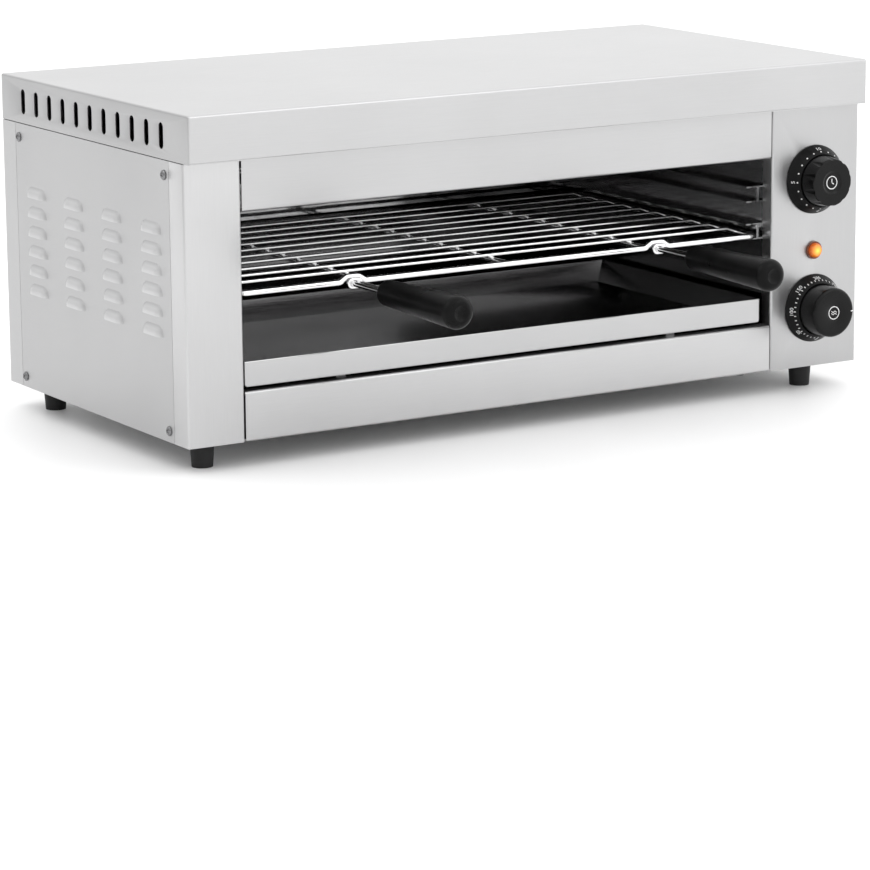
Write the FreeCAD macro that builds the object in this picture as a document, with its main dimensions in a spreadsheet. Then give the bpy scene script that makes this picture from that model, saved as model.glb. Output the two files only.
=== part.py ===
import FreeCAD, Part
import math
import os
import re
import Sketcher

# Commercial toaster. Millimetres, X to the right, Y to the back, Z up, seen from the front.
# Most pieces share one datum: the middle of the cover's width, its front face, its lower edge.

doc = FreeCAD.newDocument("CommercialToaster")
sheet = doc.addObject("Spreadsheet::Sheet", "Sizes")

sizes = {
    # outer shell
    "coverWidth": 610,
    "coverDepth": 315,
    "coverHeight": 35.5,
    "coverOverhang": 10,
    "sheetGauge": 1,
    "foldRadius": 1.8,
    "bodyHeight": 210.5,
    "footHeight": 20,
    "postWidth": 47.2,
    "panelWidth": 85,
    "fasciaDrop": 39,
    "bottomRailHeight": 37.3,
    "frontReturn": 22,
    "backReturn": 24,
    "flangeReach": 16,
    "lipDepth": 12,
    "seamGap": 0.3,
    "frontGap": 0.8,
    "coverGap": 0.6,
    "upturnHeight": 15,
    # slots of the cover and louvers of the side panels
    "slotCount": 11,
    "slotFirst": 42.8,
    "slotLast": 39.7,
    "slotWidth": 7,
    "slotHeight": 19.5,
    "slotLevel": 17,
    "louverColumns": 4,
    "louverRows": 6,
    "louverFirst": 62.5,
    "louverLast": 59,
    "louverTop": 48,
    "louverRowPitch": 15.3,
    "louverLength": 32,
    "louverHeight": 8.5,
    "louverProud": 3,
    # chamber
    "backGap": 14,
    "ceilingDrop": 8,
    "railLift": 11.3,
    "railPitch": 30,
    "railHeight": 12.8,
    "railReach": 11,
    "railStart": 20,
    "railEndGap": 2,
    "runGap": 0.3,
    # drip tray
    "traySideGap": 5.1,
    "trayShift": 2,
    "trayFlare": 5,
    "trayCorner": 2.5,
    "trayStart": 5,
    "trayDepth": 225,
    "trayHeight": 19.3,
    "trayLift": 3.4,
    "ribWidth": 8,
    "ribSpread": 150,
    # rack
    "rackSideGap": 3.4,
    "rackFront": 14,
    "rackBackGap": 9.5,
    "frameWire": 5,
    "frameCorner": 7,
    "gridWire": 3,
    "gridCount": 10,
    "gridFirst": 25,
    "gridPitch": 24.9,
    "gridDropLength": 10,
    "crossWire": 4,
    "crossSpread": 128.5,
    "archRise": 3.8,
    "archTop": 10,
    "archFoot": 22,
    # rack handles
    "handleSpread": 138,
    "stemWire": 4,
    "stemSpacing": 4.4,
    "stemLevel": -0.8,
    "stemBack": 6,
    "stemLength": 52,
    "stemInGrip": 22,
    "ringWire": 2.6,
    "gripLength": 103,
    "gripInnerWidth": 19.5,
    "gripOuterWidth": 25.2,
    "gripRound": 6.5,
    "holeClearance": 0.1,
    # heating
    "elementWire": 8,
    "elementDrop": 17,
    "elementSpacing": 60,
    "elementPitch": 120,
    "elementEndGap": 20,
    "elementTail": 14,
    "bushWidth": 16,
    "bushLength": 8,
    "strapHeight": 27,
    "strapSpread": 105,
    "bulbWidth": 6,
    "bulbLength": 52,
    "bulbStart": 24,
    "bulbDrop": 38,
    "bulbStandoff": 8,
    "capillaryWidth": 2,
    "grommetBehind": 12,
    "grommetBelow": 13.6,
    # controls
    "knobInset": 43,
    "timerDrop": 58.8,
    "pilotDrop": 116,
    "thermostatDrop": 163,
    "dialThickness": 2,
    "dialEdge": 1,
    "dialSkirt": 4.2,
    "dialShoulder": 7.7,
    "dialBand": 2.4,
    "dialLip": 0.5,
    "dialHeight": 10,
    "dialHole": 10,
    "knobGap": 0.6,
    "knobWidth": 40.6,
    "timerKnobFace": 37.6,
    "timerKnobHeight": 21,
    "timerLobes": 10,
    "timerScallopLean": 10.4,
    "thermoKnobFace": 39.8,
    "thermoKnobHeight": 26,
    "thermoKnobRound": 3,
    "shaftWidth": 6,
    "shaftInKnob": 12,
    "shaftInBody": 10,
    "panelHole": 12,
    "housingWidth": 40,
    "housingDepth": 32,
    "housingHeight": 38,
    "pilotWidth": 12,
    "pilotRim": 14.2,
    "pilotRimHeight": 1.6,
    "pilotDome": 4,
    "pilotBarrel": 10,
    "pilotLength": 26,
    # back and underside
    "glandReach": 14,
    "glandWidth": 20,
    "glandThread": 16,
    "glandBore": 9,
    "glandInset": 43,
    "glandHeight": 32,
    "glandNutWidth": 22,
    "glandNutHeight": 5,
    "ventCount": 14,
    "ventPitch": 26,
    "ventWidth": 5,
    "ventHeight": 30,
    "ventLevel": 60,
    "screwHead": 7.5,
    "screwHeadHeight": 2.4,
    "screwShank": 3.9,
    "screwLength": 8,
    "screwHole": 4.3,
    "sideScrewInset": 30,
    "sideScrewTop": 11.5,
    "sideScrewLow": 8.5,
    "baseScrewInset": 10,
    "baseScrewEdge": 22.9,
    "footInsetLeft": 24,
    "footInsetRight": 37,
    "footInsetFront": 25,
    "footInsetBack": 32,
    "footTopWidth": 19,
    "footLowWidth": 16,
    "footBore": 9,
    "footBoreDepth": 9,
    "blockLength": 44,
    "blockWidth": 20,
    "blockHeight": 16,
}

for row, (alias, value) in enumerate(sizes.items(), 1):
    sheet.set("A%d" % row, alias)
    sheet.set("B%d" % row, str(value))
    sheet.setAlias("B%d" % row, alias)
doc.recompute()

# places that follow from the sizes, measured from the shared datum
places = {
    "frontY": "(stemLength + gripLength - coverOverhang - rackFront - coverDepth - glandReach)/2",
    "coverLowZ": "(footHeight + bodyHeight)",
    "leftX": "(-coverWidth/2)",
    "rightX": "(coverWidth/2)",
    "openLeft": "(postWidth - coverWidth/2)",
    "openRight": "(coverWidth/2 - panelWidth)",
    "openMid": "((postWidth - panelWidth)/2)",
    "openWidth": "(coverWidth - postWidth - panelWidth)",
    "wallLeft": "(openLeft - sheetGauge)",
    "wallRight": "(openRight + sheetGauge)",
    "bodyBack": "(coverOverhang + sheetGauge)",
    "railTop": "(bottomRailHeight - bodyHeight)",
    "deckTop": "(railTop - sheetGauge)",
    "baseTop": "(2*sheetGauge - bodyHeight)",
    "chamberBack": "(coverDepth - backGap - sheetGauge)",
    "frontSeam": "(coverOverhang + frontReturn)",
    "slotPitch": "((coverDepth - slotLast - slotFirst)/max(1; slotCount - 1))",
    "louverColumnPitch": "((coverDepth - louverLast - louverFirst)/max(1; louverColumns - 1))",
    "baseScrewSpread": "(openWidth/2 - baseScrewEdge)",
    "railDrop": "((bodyHeight - railLift)/2)",
    "backSeam": "(coverDepth - backReturn)",
    "rackY": "(coverOverhang + rackFront)",
    "rackBackY": "(chamberBack - rackBackGap)",
    "rackHalf": "(openWidth/2 - rackSideGap)",
    "wireZ": "(-railDrop - railHeight/2 + sheetGauge + runGap + frameWire/2)",
    "gridZ": "(wireZ + crossWire/2 + gridWire/2)",
    "stemZ": "(wireZ + stemLevel)",
    "trayHalf": "(openWidth/2 - traySideGap)",
    "trayLow": "(deckTop + trayLift)",
    "trayY": "(coverOverhang + trayStart)",
    "elementZ": "(-ceilingDrop - elementDrop)",
    "elementY": "((coverOverhang + chamberBack)/2)",
    "bulbX": "(wallRight - bulbStandoff)",
    "knobX": "(coverWidth/2 - knobInset)",
    "glandX": "(coverWidth/2 - glandInset)",
    "glandZ": "(glandHeight - bodyHeight)",
    "knobY": "(coverOverhang - dialThickness - knobGap)",
    "knobSeat": "(dialHeight - dialThickness - knobGap)",
    "dialMouth": "(knobWidth/2 + knobGap)",
}

word = re.compile(r"[A-Za-z]\w*")
pieces = []


# A length written with the names above, as an expression on the sheet's cells.
def ex(text):
    def one(found):
        name = found.group(0)
        if name in places:
            return "(" + ex(places[name]) + ")"
        return "Sizes." + name if name in sizes else name
    return word.sub(one, str(text))


def num(text):
    return float(sheet.evalExpression(ex(text)))


def vec(x, y, z):
    return FreeCAD.Vector(num(x), num(y), num(z))


# Stands a piece at its place, from the shared datum unless told otherwise, and lists it.
def place(piece, x="0", y="frontY", z="coverLowZ"):
    piece.setExpression("Placement.Base.x", ex(x))
    piece.setExpression("Placement.Base.y", ex(y))
    piece.setExpression("Placement.Base.z", ex(z))
    pieces.append(piece)
    return piece


def new_body(name):
    body = doc.addObject("PartDesign::Body", name)
    body.Label = name
    return body


def origin_part(body, role):
    return next(part for part in body.Origin.OriginFeatures if part.Role == role)


def new_sketch(body, name, role, level):
    sketch = body.newObject("Sketcher::SketchObject", name)
    sketch.AttachmentSupport = [(origin_part(body, role), "")]
    sketch.MapMode = "FlatFace"
    sketch.setExpression("AttachmentOffset.Base.z", ex(level))
    return sketch


# A size or a coordinate of a sketch, bound to the sheet.
def bind(sketch, constraint, text):
    index = sketch.addConstraint(constraint)
    sketch.setExpression("Constraints[%d]" % index, ex(text))


def pin(sketch, geometry, point, x, y):
    bind(sketch, Sketcher.Constraint("DistanceX", -1, 1, geometry, point, num(x)), x)
    bind(sketch, Sketcher.Constraint("DistanceY", -1, 1, geometry, point, num(y)), y)


# A closed outline through the given corners.
def outline(body, name, role, level, corners):
    sketch = new_sketch(body, name, role, level)
    points = [vec(a, b, 0) for a, b in corners]
    count = len(points)
    for i in range(count):
        sketch.addGeometry(Part.LineSegment(points[i], points[(i + 1) % count]))
    for i in range(count):
        sketch.addConstraint(Sketcher.Constraint("Coincident", i, 2, (i + 1) % count, 1))
    for i, (a, b) in enumerate(corners):
        pin(sketch, i, 1, a, b)
    return sketch


def rectangle(a0, b0, a1, b1):
    return [(a0, b0), (a1, b0), (a1, b1), (a0, b1)]


def circles(body, name, role, level, rounds):
    sketch = new_sketch(body, name, role, level)
    for i, (a, b, width) in enumerate(rounds):
        sketch.addGeometry(Part.Circle(vec(a, b, 0), FreeCAD.Vector(0, 0, 1), num(width) / 2))
        pin(sketch, i, 3, a, b)
        bind(sketch, Sketcher.Constraint("Diameter", i, num(width)), width)
    return sketch


# An upright slot with round ends.
def slot(body, name, role, level, a, b, width, height):
    sketch = new_sketch(body, name, role, level)
    x, y, r = num(a), num(b), num(width) / 2
    rise = (num(height) - num(width)) / 2
    low, high = FreeCAD.Vector(x, y - rise, 0), FreeCAD.Vector(x, y + rise, 0)
    side = FreeCAD.Vector(r, 0, 0)
    up = FreeCAD.Vector(0, 0, 1)
    sketch.addGeometry(Part.LineSegment(low + side, high + side))
    sketch.addGeometry(Part.ArcOfCircle(Part.Circle(high, up, r), 0, math.pi))
    sketch.addGeometry(Part.LineSegment(high - side, low - side))
    sketch.addGeometry(Part.ArcOfCircle(Part.Circle(low, up, r), math.pi, 2 * math.pi))
    for first, second in ((0, 1), (1, 2), (2, 3), (3, 0)):
        sketch.addConstraint(Sketcher.Constraint("Tangent", first, 2, second, 1))
    pin(sketch, 1, 3, a, "(%s) + (%s - %s)/2" % (b, height, width))
    pin(sketch, 3, 3, a, "(%s) - (%s - %s)/2" % (b, height, width))
    bind(sketch, Sketcher.Constraint("Radius", 1, r), "(%s)/2" % width)
    bind(sketch, Sketcher.Constraint("Radius", 3, r), "(%s)/2" % width)
    return sketch


def pad(body, name, sketch, length):
    feature = body.newObject("PartDesign::Pad", name)
    feature.Profile = sketch
    feature.setExpression("Length", ex(length))
    doc.recompute()
    return feature


# A cut that runs along the plane's normal, or against it, or to both sides of the plane.
# A lean above zero widens it as it goes.
def pocket(body, name, sketch, length, way="ahead", lean="0"):
    before = body.Shape.Volume
    feature = body.newObject("PartDesign::Pocket", name)
    feature.Profile = sketch
    feature.setExpression("Length", ex(length))
    feature.setExpression("TaperAngle", ex(lean))
    feature.Reversed = way == "ahead"
    if way == "both":
        feature.Midplane = True
    doc.recompute()
    if body.Shape.Volume > before - 0.001:
        raise RuntimeError(body.Label + " " + name + " cuts nothing")
    return feature


def repeat(body, name, feature, axis, pitch, count):
    pattern = body.newObject("PartDesign::LinearPattern", name)
    pattern.Originals = [feature]
    pattern.Direction = (origin_part(body, axis), [""])
    pattern.setExpression("Length", ex("(%s)*(%s - 1)" % (pitch, count)))
    pattern.setExpression("Occurrences", ex(count))
    body.Tip = pattern
    doc.recompute()
    return pattern


# The names of the edges whose two ends lie at the given coordinates.
def edges_at(shape, **where):
    wanted = {axis: num(value) for axis, value in where.items()}
    found = []
    for index, edge in enumerate(shape.Edges, 1):
        ends = [vertex.Point for vertex in edge.Vertexes]
        if all(abs(getattr(p, axis) - value) < 0.01 for p in ends for axis, value in wanted.items()):
            found.append("Edge%d" % index)
    return found


def fillet(body, name, radius, *groups):
    base = body.Tip
    chosen = []
    for where in groups:
        chosen += edges_at(base.Shape, **where)
    feature = body.newObject("PartDesign::Fillet", name)
    feature.Base = (base, sorted(set(chosen)))
    feature.setExpression("Radius", ex(radius))
    doc.recompute()
    return feature


# A turned piece. Its outline lies in the plane of Y and Z or of X and Z.
def turned(name, role, axis, corners):
    body = new_body(name)
    sketch = outline(body, name + "_outline", role, "0", corners)
    feature = body.newObject("PartDesign::Revolution", name + "_turned")
    feature.Profile = sketch
    feature.ReferenceAxis = (origin_part(body, axis), [""])
    feature.Angle = 360
    doc.recompute()
    return body


def made(name, shape):
    feature = doc.addObject("Part::Feature", name)
    feature.Label = name
    feature.Shape = shape
    return feature


# A run of straight wires with a tangent bend at each corner: corners are (point, radius).
def route(corners, closed=False):
    points = [point for point, radius in corners]
    count = len(points)
    bends = {}
    for i, (point, radius) in enumerate(corners):
        if not closed and i in (0, count - 1):
            continue
        before = (points[i - 1] - point).normalize()
        after = (points[(i + 1) % count] - point).normalize()
        half = before.getAngle(after) / 2
        reach = radius / math.tan(half)
        middle = (before + after).normalize()
        top = point + middle * (radius / math.sin(half) - radius)
        bends[i] = (point + before * reach, top, point + after * reach)
    edges = []
    for i in range(count if closed else count - 1):
        j = (i + 1) % count
        start = bends[i][2] if i in bends else points[i]
        end = bends[j][0] if j in bends else points[j]
        if (end - start).Length > 0.001:
            edges.append(Part.LineSegment(start, end).toShape())
        if j in bends:
            edges.append(Part.Arc(*bends[j]).toShape())
    return Part.Wire(edges)


def tube(path, width):
    first = path.Edges[0]
    start = first.valueAt(first.FirstParameter)
    ring = Part.makeCircle(width / 2, start, first.tangentAt(first.FirstParameter))
    return path.makePipeShell([Part.Wire([ring])], True, False)


def rod(width, start, end):
    return Part.makeCylinder(width / 2, (end - start).Length, start, end - start)


def brick(x0, y0, z0, x1, y1, z1):
    low, high = vec(x0, y0, z0), vec(x1, y1, z1)
    size = high - low
    return Part.makeBox(size.x, size.y, size.z, low)


# A six sided nut with its bore, its first face at the point, standing along the direction.
def nut(point, direction, flats, height, bore):
    corner = flats / math.sqrt(3)
    ring = [FreeCAD.Vector(corner * math.cos(k * math.pi / 3), corner * math.sin(k * math.pi / 3), 0)
            for k in range(6)]
    face = Part.Face(Part.makePolygon(ring + ring[:1]))
    solid = face.extrude(FreeCAD.Vector(0, 0, height))
    solid = solid.cut(Part.makeCylinder(bore / 2, height))
    solid.Placement = FreeCAD.Placement(point, FreeCAD.Rotation(FreeCAD.Vector(0, 0, 1), direction))
    return Part.makeCompound([solid])


# A pan head screw whose head sits on the point and whose shank runs along the direction.
def screw(point, direction, length):
    head = Part.makeCylinder(num("screwHead") / 2, num("screwHeadHeight"), FreeCAD.Vector(0, 0, 0),
                             FreeCAD.Vector(0, 0, -1))
    rim = [edge for edge in head.Edges
           if edge.Closed and abs(edge.BoundBox.ZMax + num("screwHeadHeight")) < 0.01]
    head = head.makeFillet(num("screwHeadHeight") * 0.6, rim)
    recess = Part.makeBox(num("screwHead") * 0.55, num("screwHead") * 0.14, num("screwHeadHeight") * 0.5)
    recess.translate(FreeCAD.Vector(-num("screwHead") * 0.275, -num("screwHead") * 0.07,
                                    -num("screwHeadHeight")))
    across = recess.copy()
    across.rotate(FreeCAD.Vector(0, 0, 0), FreeCAD.Vector(0, 0, 1), 90)
    shank = Part.makeCylinder(num("screwShank") / 2, length)
    solid = head.fuse(shank).removeSplitter().cut(recess).cut(across)
    solid.Placement = FreeCAD.Placement(point, FreeCAD.Rotation(FreeCAD.Vector(0, 0, 1), direction))
    return Part.makeCompound([solid])


toRight, toBack, toTop = vec(1, 0, 0), vec(0, 1, 0), vec(0, 0, 1)
toLeft, toFront = vec(-1, 0, 0), vec(0, -1, 0)

# Top cover: a folded pan, its front lip turned in below the overhang
cover = new_body("top_cover")
pad(cover, "cover_block", outline(cover, "cover_plan", "XY_Plane", "0",
    rectangle("leftX", "0", "rightX", "coverDepth")), "coverHeight")
fillet(cover, "cover_folds", "min(foldRadius; 2.5*sheetGauge)",
       {"z": "coverHeight"}, {"x": "leftX", "y": "0"}, {"x": "rightX", "y": "0"},
       {"x": "leftX", "y": "coverDepth"}, {"x": "rightX", "y": "coverDepth"}, {"y": "0", "z": "0"})
pocket(cover, "cover_hollow", outline(cover, "cover_inside", "XY_Plane", "0",
       rectangle("leftX + sheetGauge", "sheetGauge", "rightX - sheetGauge", "coverDepth - sheetGauge")),
       "coverHeight - sheetGauge")
pad(cover, "cover_hem", outline(cover, "cover_hem_plan", "XY_Plane", "0",
    rectangle("leftX + sheetGauge/2", "sheetGauge/2", "rightX - sheetGauge/2", "coverOverhang - seamGap")),
    "sheetGauge")
slots = pocket(cover, "cover_slot", slot(cover, "cover_slot_outline", "YZ_Plane", "0", "slotFirst",
               "slotLevel", "slotWidth", "slotHeight"), "2*coverWidth", "both")
repeat(cover, "cover_slots", slots, "Y_Axis", "slotPitch", "slotCount")
backScrewX = ["-coverWidth/2 + 2*footInsetLeft", "0", "coverWidth/2 - 2*footInsetLeft"]
pocket(cover, "cover_back_holes", circles(cover, "cover_back_rounds", "XZ_Plane", "-coverDepth",
       [(x, "slotLevel", "screwHole") for x in backScrewX]), "2*sheetGauge")
place(cover)


# The front sheets at the two sides: front plate, side return, flange behind the side panel
def side_front(name, side, edge, inner, turn):
    body = new_body(name)
    g = "sheetGauge"
    t = "(%d)" % turn
    plan = [(side, "coverOverhang"), (edge, "coverOverhang"),
            (edge, "coverOverhang + lipDepth"), (inner, "coverOverhang + lipDepth"),
            (inner, "bodyBack"), ("%s + %s*%s" % (side, t, g), "bodyBack"),
            ("%s + %s*%s" % (side, t, g), "frontSeam - " + g),
            ("%s + 2*%s*%s" % (side, t, g), "frontSeam - " + g),
            ("%s + 2*%s*%s" % (side, t, g), "frontSeam + flangeReach"),
            ("%s + %s*%s" % (side, t, g), "frontSeam + flangeReach"),
            ("%s + %s*%s" % (side, t, g), "frontSeam"), (side, "frontSeam")]
    if turn < 0:
        plan = plan[::-1]
    pad(body, name + "_fold", outline(body, name + "_plan", "XY_Plane", "-bodyHeight", plan),
        "bodyHeight - coverGap")
    fillet(body, name + "_corners", "min(foldRadius; 2.5*sheetGauge)",
           {"x": side, "y": "coverOverhang"}, {"x": edge, "y": "coverOverhang"})
    a = "%s + %s*(%s + seamGap)" % (side, t, g)
    strip = rectangle(a, "coverOverhang", inner, "bodyBack")
    if turn < 0:
        strip = rectangle(inner, "coverOverhang", a, "bodyBack")
    pad(body, name + "_upstand", outline(body, name + "_upstand_plan", "XY_Plane", "-coverGap - seamGap", strip),
        "coverHeight - sheetGauge + coverGap + seamGap")
    low, high = (inner, edge) if turn > 0 else (edge, inner)
    notch = rectangle(low + " - 1", "bodyBack", high + " + 1", "coverOverhang + lipDepth + 1")
    pocket(body, name + "_notch", outline(body, name + "_notch_plan", "XY_Plane", "-bodyHeight", notch),
           "2*sheetGauge + seamGap")
    pocket(body, name + "_holes", circles(body, name + "_rounds", "YZ_Plane", "0",
           [("coverOverhang + sideScrewInset", "-sideScrewTop", "screwHole"),
            ("coverOverhang + sideScrewInset", "sideScrewLow - bodyHeight", "screwHole")]),
           "2*coverWidth", "both")
    return body


post = side_front("left_post", "leftX", "openLeft", "wallLeft", 1)
place(post)
panel = side_front("control_panel", "rightX", "openRight", "wallRight", -1)
pocket(panel, "control_holes", circles(panel, "control_rounds", "XZ_Plane", "-coverOverhang",
       [("knobX", "-timerDrop", "panelHole"), ("knobX", "-thermostatDrop", "panelHole"),
        ("knobX", "-pilotDrop", "pilotBarrel + 0.6")]), "2*sheetGauge", "both")
place(panel)


# The front sheets across the opening, folded back at their edges
def cross_front(name, low, high, lowReach, highReach):
    body = new_body(name)
    g = "sheetGauge"
    section = [("coverOverhang", low), ("coverOverhang + " + lowReach, low),
               ("coverOverhang + " + lowReach, low + " + " + g), ("bodyBack", low + " + " + g),
               ("bodyBack", high + " - " + g), ("coverOverhang + " + highReach, high + " - " + g),
               ("coverOverhang + " + highReach, high), ("coverOverhang", high)]
    sketch = outline(body, name + "_section", "YZ_Plane", "openLeft + frontGap", section)
    pad(body, name + "_fold", sketch, "openWidth - 2*frontGap")
    return body


fascia = cross_front("top_fascia", "(-fasciaDrop)", "(coverHeight - sheetGauge)", "lipDepth", "lipDepth")
fillet(fascia, "fascia_corner", "min(foldRadius; 2.5*sheetGauge)", {"y": "coverOverhang", "z": "-fasciaDrop"})
place(fascia)
bottomRail = cross_front("bottom_rail", "(-bodyHeight)", "railTop", "frontReturn", "lipDepth")
fillet(bottomRail, "rail_corners", "min(foldRadius; 2.5*sheetGauge)",
       {"y": "coverOverhang", "z": "-bodyHeight"}, {"y": "coverOverhang", "z": "railTop"})
baseScrewX = ["openMid - baseScrewSpread", "openMid", "openMid + baseScrewSpread"]
pocket(bottomRail, "rail_holes", circles(bottomRail, "rail_rounds", "XY_Plane", "-bodyHeight",
       [(x, "coverOverhang + baseScrewInset", "screwHole") for x in baseScrewX]), "2*sheetGauge", "both")
place(bottomRail)

# Base plate with upturned flanges at the sides and the back
base = new_body("base_plate")
pad(base, "base_sheet", outline(base, "base_plan", "XY_Plane", "sheetGauge - bodyHeight",
    rectangle("leftX + 2*sheetGauge", "bodyBack", "rightX - 2*sheetGauge", "coverDepth - sheetGauge")),
    "sheetGauge")
flangeFront, flangeBack = "frontSeam + flangeReach + seamGap", "backSeam - flangeReach - seamGap"
pad(base, "base_left_tongue", outline(base, "base_left_plan", "XY_Plane", "sheetGauge - bodyHeight",
    rectangle("leftX + sheetGauge", flangeFront, "leftX + 2*sheetGauge", flangeBack)), "upturnHeight")
pad(base, "base_right_tongue", outline(base, "base_right_plan", "XY_Plane", "sheetGauge - bodyHeight",
    rectangle("rightX - 2*sheetGauge", flangeFront, "rightX - sheetGauge", flangeBack)), "upturnHeight")
pad(base, "base_back_flange", outline(base, "base_back_plan", "XY_Plane", "sheetGauge - bodyHeight",
    rectangle("leftX + 2*sheetGauge", "coverDepth - 2*sheetGauge", "rightX - 2*sheetGauge",
              "coverDepth - sheetGauge")), "upturnHeight")
footSpots = {"front_left": ("leftX + footInsetLeft", "coverOverhang + footInsetFront"),
             "front_right": ("rightX - footInsetRight", "coverOverhang + footInsetFront"),
             "back_left": ("leftX + footInsetLeft", "coverDepth - footInsetBack"),
             "back_right": ("rightX - footInsetRight", "coverDepth - footInsetBack")}
baseRounds = [(x, y, "screwHole") for x, y in footSpots.values()]
baseRounds += [(x, "coverOverhang + baseScrewInset", "screwHole") for x in baseScrewX]
pocket(base, "base_holes", circles(base, "base_rounds", "XY_Plane", "-bodyHeight", baseRounds),
       "3*sheetGauge")
lowScrew = "(sideScrewLow - bodyHeight)"
pocket(base, "base_back_holes", circles(base, "base_back_rounds", "XZ_Plane", "-coverDepth",
       [(x, lowScrew, "screwHole") for x in backScrewX]), "3*sheetGauge")
place(base)

# Back panel with its side returns, a tab inside the cover, vents and the cord's opening
back = new_body("back_panel")
halfBack = [("leftX", "coverDepth"), ("leftX", "backSeam"), ("leftX + sheetGauge", "backSeam"),
            ("leftX + sheetGauge", "backSeam - flangeReach"), ("leftX + 2*sheetGauge", "backSeam - flangeReach"),
            ("leftX + 2*sheetGauge", "backSeam + sheetGauge"), ("leftX + sheetGauge", "backSeam + sheetGauge"),
            ("leftX + sheetGauge", "coverDepth - sheetGauge")]
otherHalf = [("-(" + x + ")", y) for x, y in halfBack[::-1]]
pad(back, "back_fold", outline(back, "back_plan", "XY_Plane", "-bodyHeight", halfBack + otherHalf),
    "bodyHeight - coverGap")
fillet(back, "back_corners", "min(foldRadius; 2.5*sheetGauge)",
       {"x": "leftX", "y": "coverDepth"}, {"x": "rightX", "y": "coverDepth"})
pad(back, "back_tab", outline(back, "back_tab_outline", "XZ_Plane", "sheetGauge - coverDepth",
    rectangle("leftX + 3*sheetGauge", "-lipDepth", "rightX - 3*sheetGauge", "coverHeight - sheetGauge")),
    "sheetGauge")
vent = pocket(back, "back_vent", slot(back, "back_vent_outline", "XZ_Plane", "-coverDepth",
              "-ventPitch*(ventCount - 1)/2", "-ventLevel", "ventWidth", "ventHeight"), "2*sheetGauge")
repeat(back, "back_vents", vent, "X_Axis", "ventPitch", "ventCount")
pocket(back, "back_holes", circles(back, "back_rounds", "XZ_Plane", "-coverDepth",
       [("glandX", "glandZ", "glandThread + 0.6"), ("glandX - 2*glandWidth", "glandZ", "screwHole + 1")]
       + [(x, "slotLevel", "screwHole") for x in backScrewX]
       + [(x, lowScrew, "screwHole") for x in backScrewX]), "3*sheetGauge")
pocket(back, "back_side_holes", circles(back, "back_side_rounds", "YZ_Plane", "0",
       [("coverDepth - sideScrewInset", "-sideScrewTop", "screwHole"),
        ("coverDepth - sideScrewInset", lowScrew, "screwHole")]), "2*coverWidth", "both")
place(back)

# Side panels: flat sheets with pressed louvers that open downward.
# A louver is the skin of a long round ended bulge, kept above its slit and outside the sheet.
g = num("sheetGauge")
proud, tall, half = num("louverProud"), num("louverHeight"), num("louverLength") / 2
bulge = (tall ** 2 + proud ** 2) / (2 * proud)


def capsule(radius, reach):
    middle = FreeCAD.Vector(bulge - proud, 0, 0)
    body = Part.makeCylinder(radius, 2 * reach, middle - toBack * reach, toBack)
    for end in (-reach, reach):
        body = body.fuse(Part.makeSphere(radius, middle + toBack * end))
    above = Part.makeBox(4 * bulge, 4 * half + 8 * bulge, 2 * bulge,
                         FreeCAD.Vector(-2 * bulge, -2 * half - 4 * bulge, 0))
    return body.common(above).removeSplitter()


outside = Part.makeBox(2 * bulge, 8 * half, 2 * bulge, FreeCAD.Vector(-2 * bulge, -4 * half, 0))
hood = capsule(bulge, half - tall).common(outside)
within = Part.makeBox(2 * bulge + g, 8 * half, 2 * bulge, FreeCAD.Vector(-2 * bulge, -4 * half, 0))
hollow = capsule(bulge - g, half - tall).common(within)
sheetPlate = brick("leftX", "frontSeam + seamGap", "-bodyHeight", "leftX + sheetGauge", "backSeam - seamGap",
                   "-coverGap")
hoods, hollows = [], []
for column in range(int(num("louverColumns"))):
    for level in range(int(num("louverRows"))):
        spot = vec("leftX", "louverFirst + %d*louverColumnPitch" % column,
                   "-louverTop - louverHeight - %d*louverRowPitch" % level)
        hoods.append(hood.translated(spot))
        hollows.append(hollow.translated(spot))
for y in ("coverOverhang + sideScrewInset", "coverDepth - sideScrewInset"):
    for z in ("-sideScrewTop", lowScrew):
        hollows.append(rod(num("screwHole"), vec("leftX - 1", y, z), vec("leftX + 2*sheetGauge", y, z)))
leftSide = sheetPlate.fuse(hoods).cut(hollows)
place(made("side_panel_left", leftSide))
place(made("side_panel_right", leftSide.mirror(FreeCAD.Vector(0, 0, 0), toRight)))

# Chamber: two walls that stand on the base, a back, a floor with two runner ribs, a reflector
leftWall = doc.addObject("Part::Box", "chamber_wall_left")
leftWall.setExpression("Length", ex("sheetGauge"))
leftWall.setExpression("Width", ex("chamberBack + sheetGauge - bodyBack"))
leftWall.setExpression("Height", ex("-ceilingDrop - baseTop"))
place(leftWall, "wallLeft - sheetGauge", "frontY + bodyBack", "coverLowZ + baseTop")
wallHole = "elementWire + 4"
rightWall = new_body("chamber_wall_right")
pad(rightWall, "right_wall_sheet", outline(rightWall, "right_wall_outline", "YZ_Plane", "wallRight",
    rectangle("bodyBack", "baseTop", "chamberBack + sheetGauge", "-ceilingDrop")), "sheetGauge")
legs = ["elementY + (%s)*elementPitch/2 + (%s)*elementSpacing/2" % (a, b) for a in (-1, 1) for b in (-1, 1)]
capillaryY = "(coverOverhang + bulbStart + bulbLength + grommetBehind)"
capillaryZ = "(-bulbDrop - grommetBelow)"
pocket(rightWall, "right_wall_holes", circles(rightWall, "right_wall_rounds", "YZ_Plane", "wallRight - 1",
       [(y, "elementZ", wallHole) for y in legs] + [(capillaryY, capillaryZ, "capillaryWidth + 4")]),
       "3*sheetGauge")
place(rightWall)
rearWall = doc.addObject("Part::Box", "chamber_back")
rearWall.setExpression("Length", ex("wallRight - wallLeft"))
rearWall.setExpression("Width", ex("sheetGauge"))
rearWall.setExpression("Height", ex("-ceilingDrop - deckTop"))
place(rearWall, "wallLeft", "frontY + chamberBack", "coverLowZ + deckTop")
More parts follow.
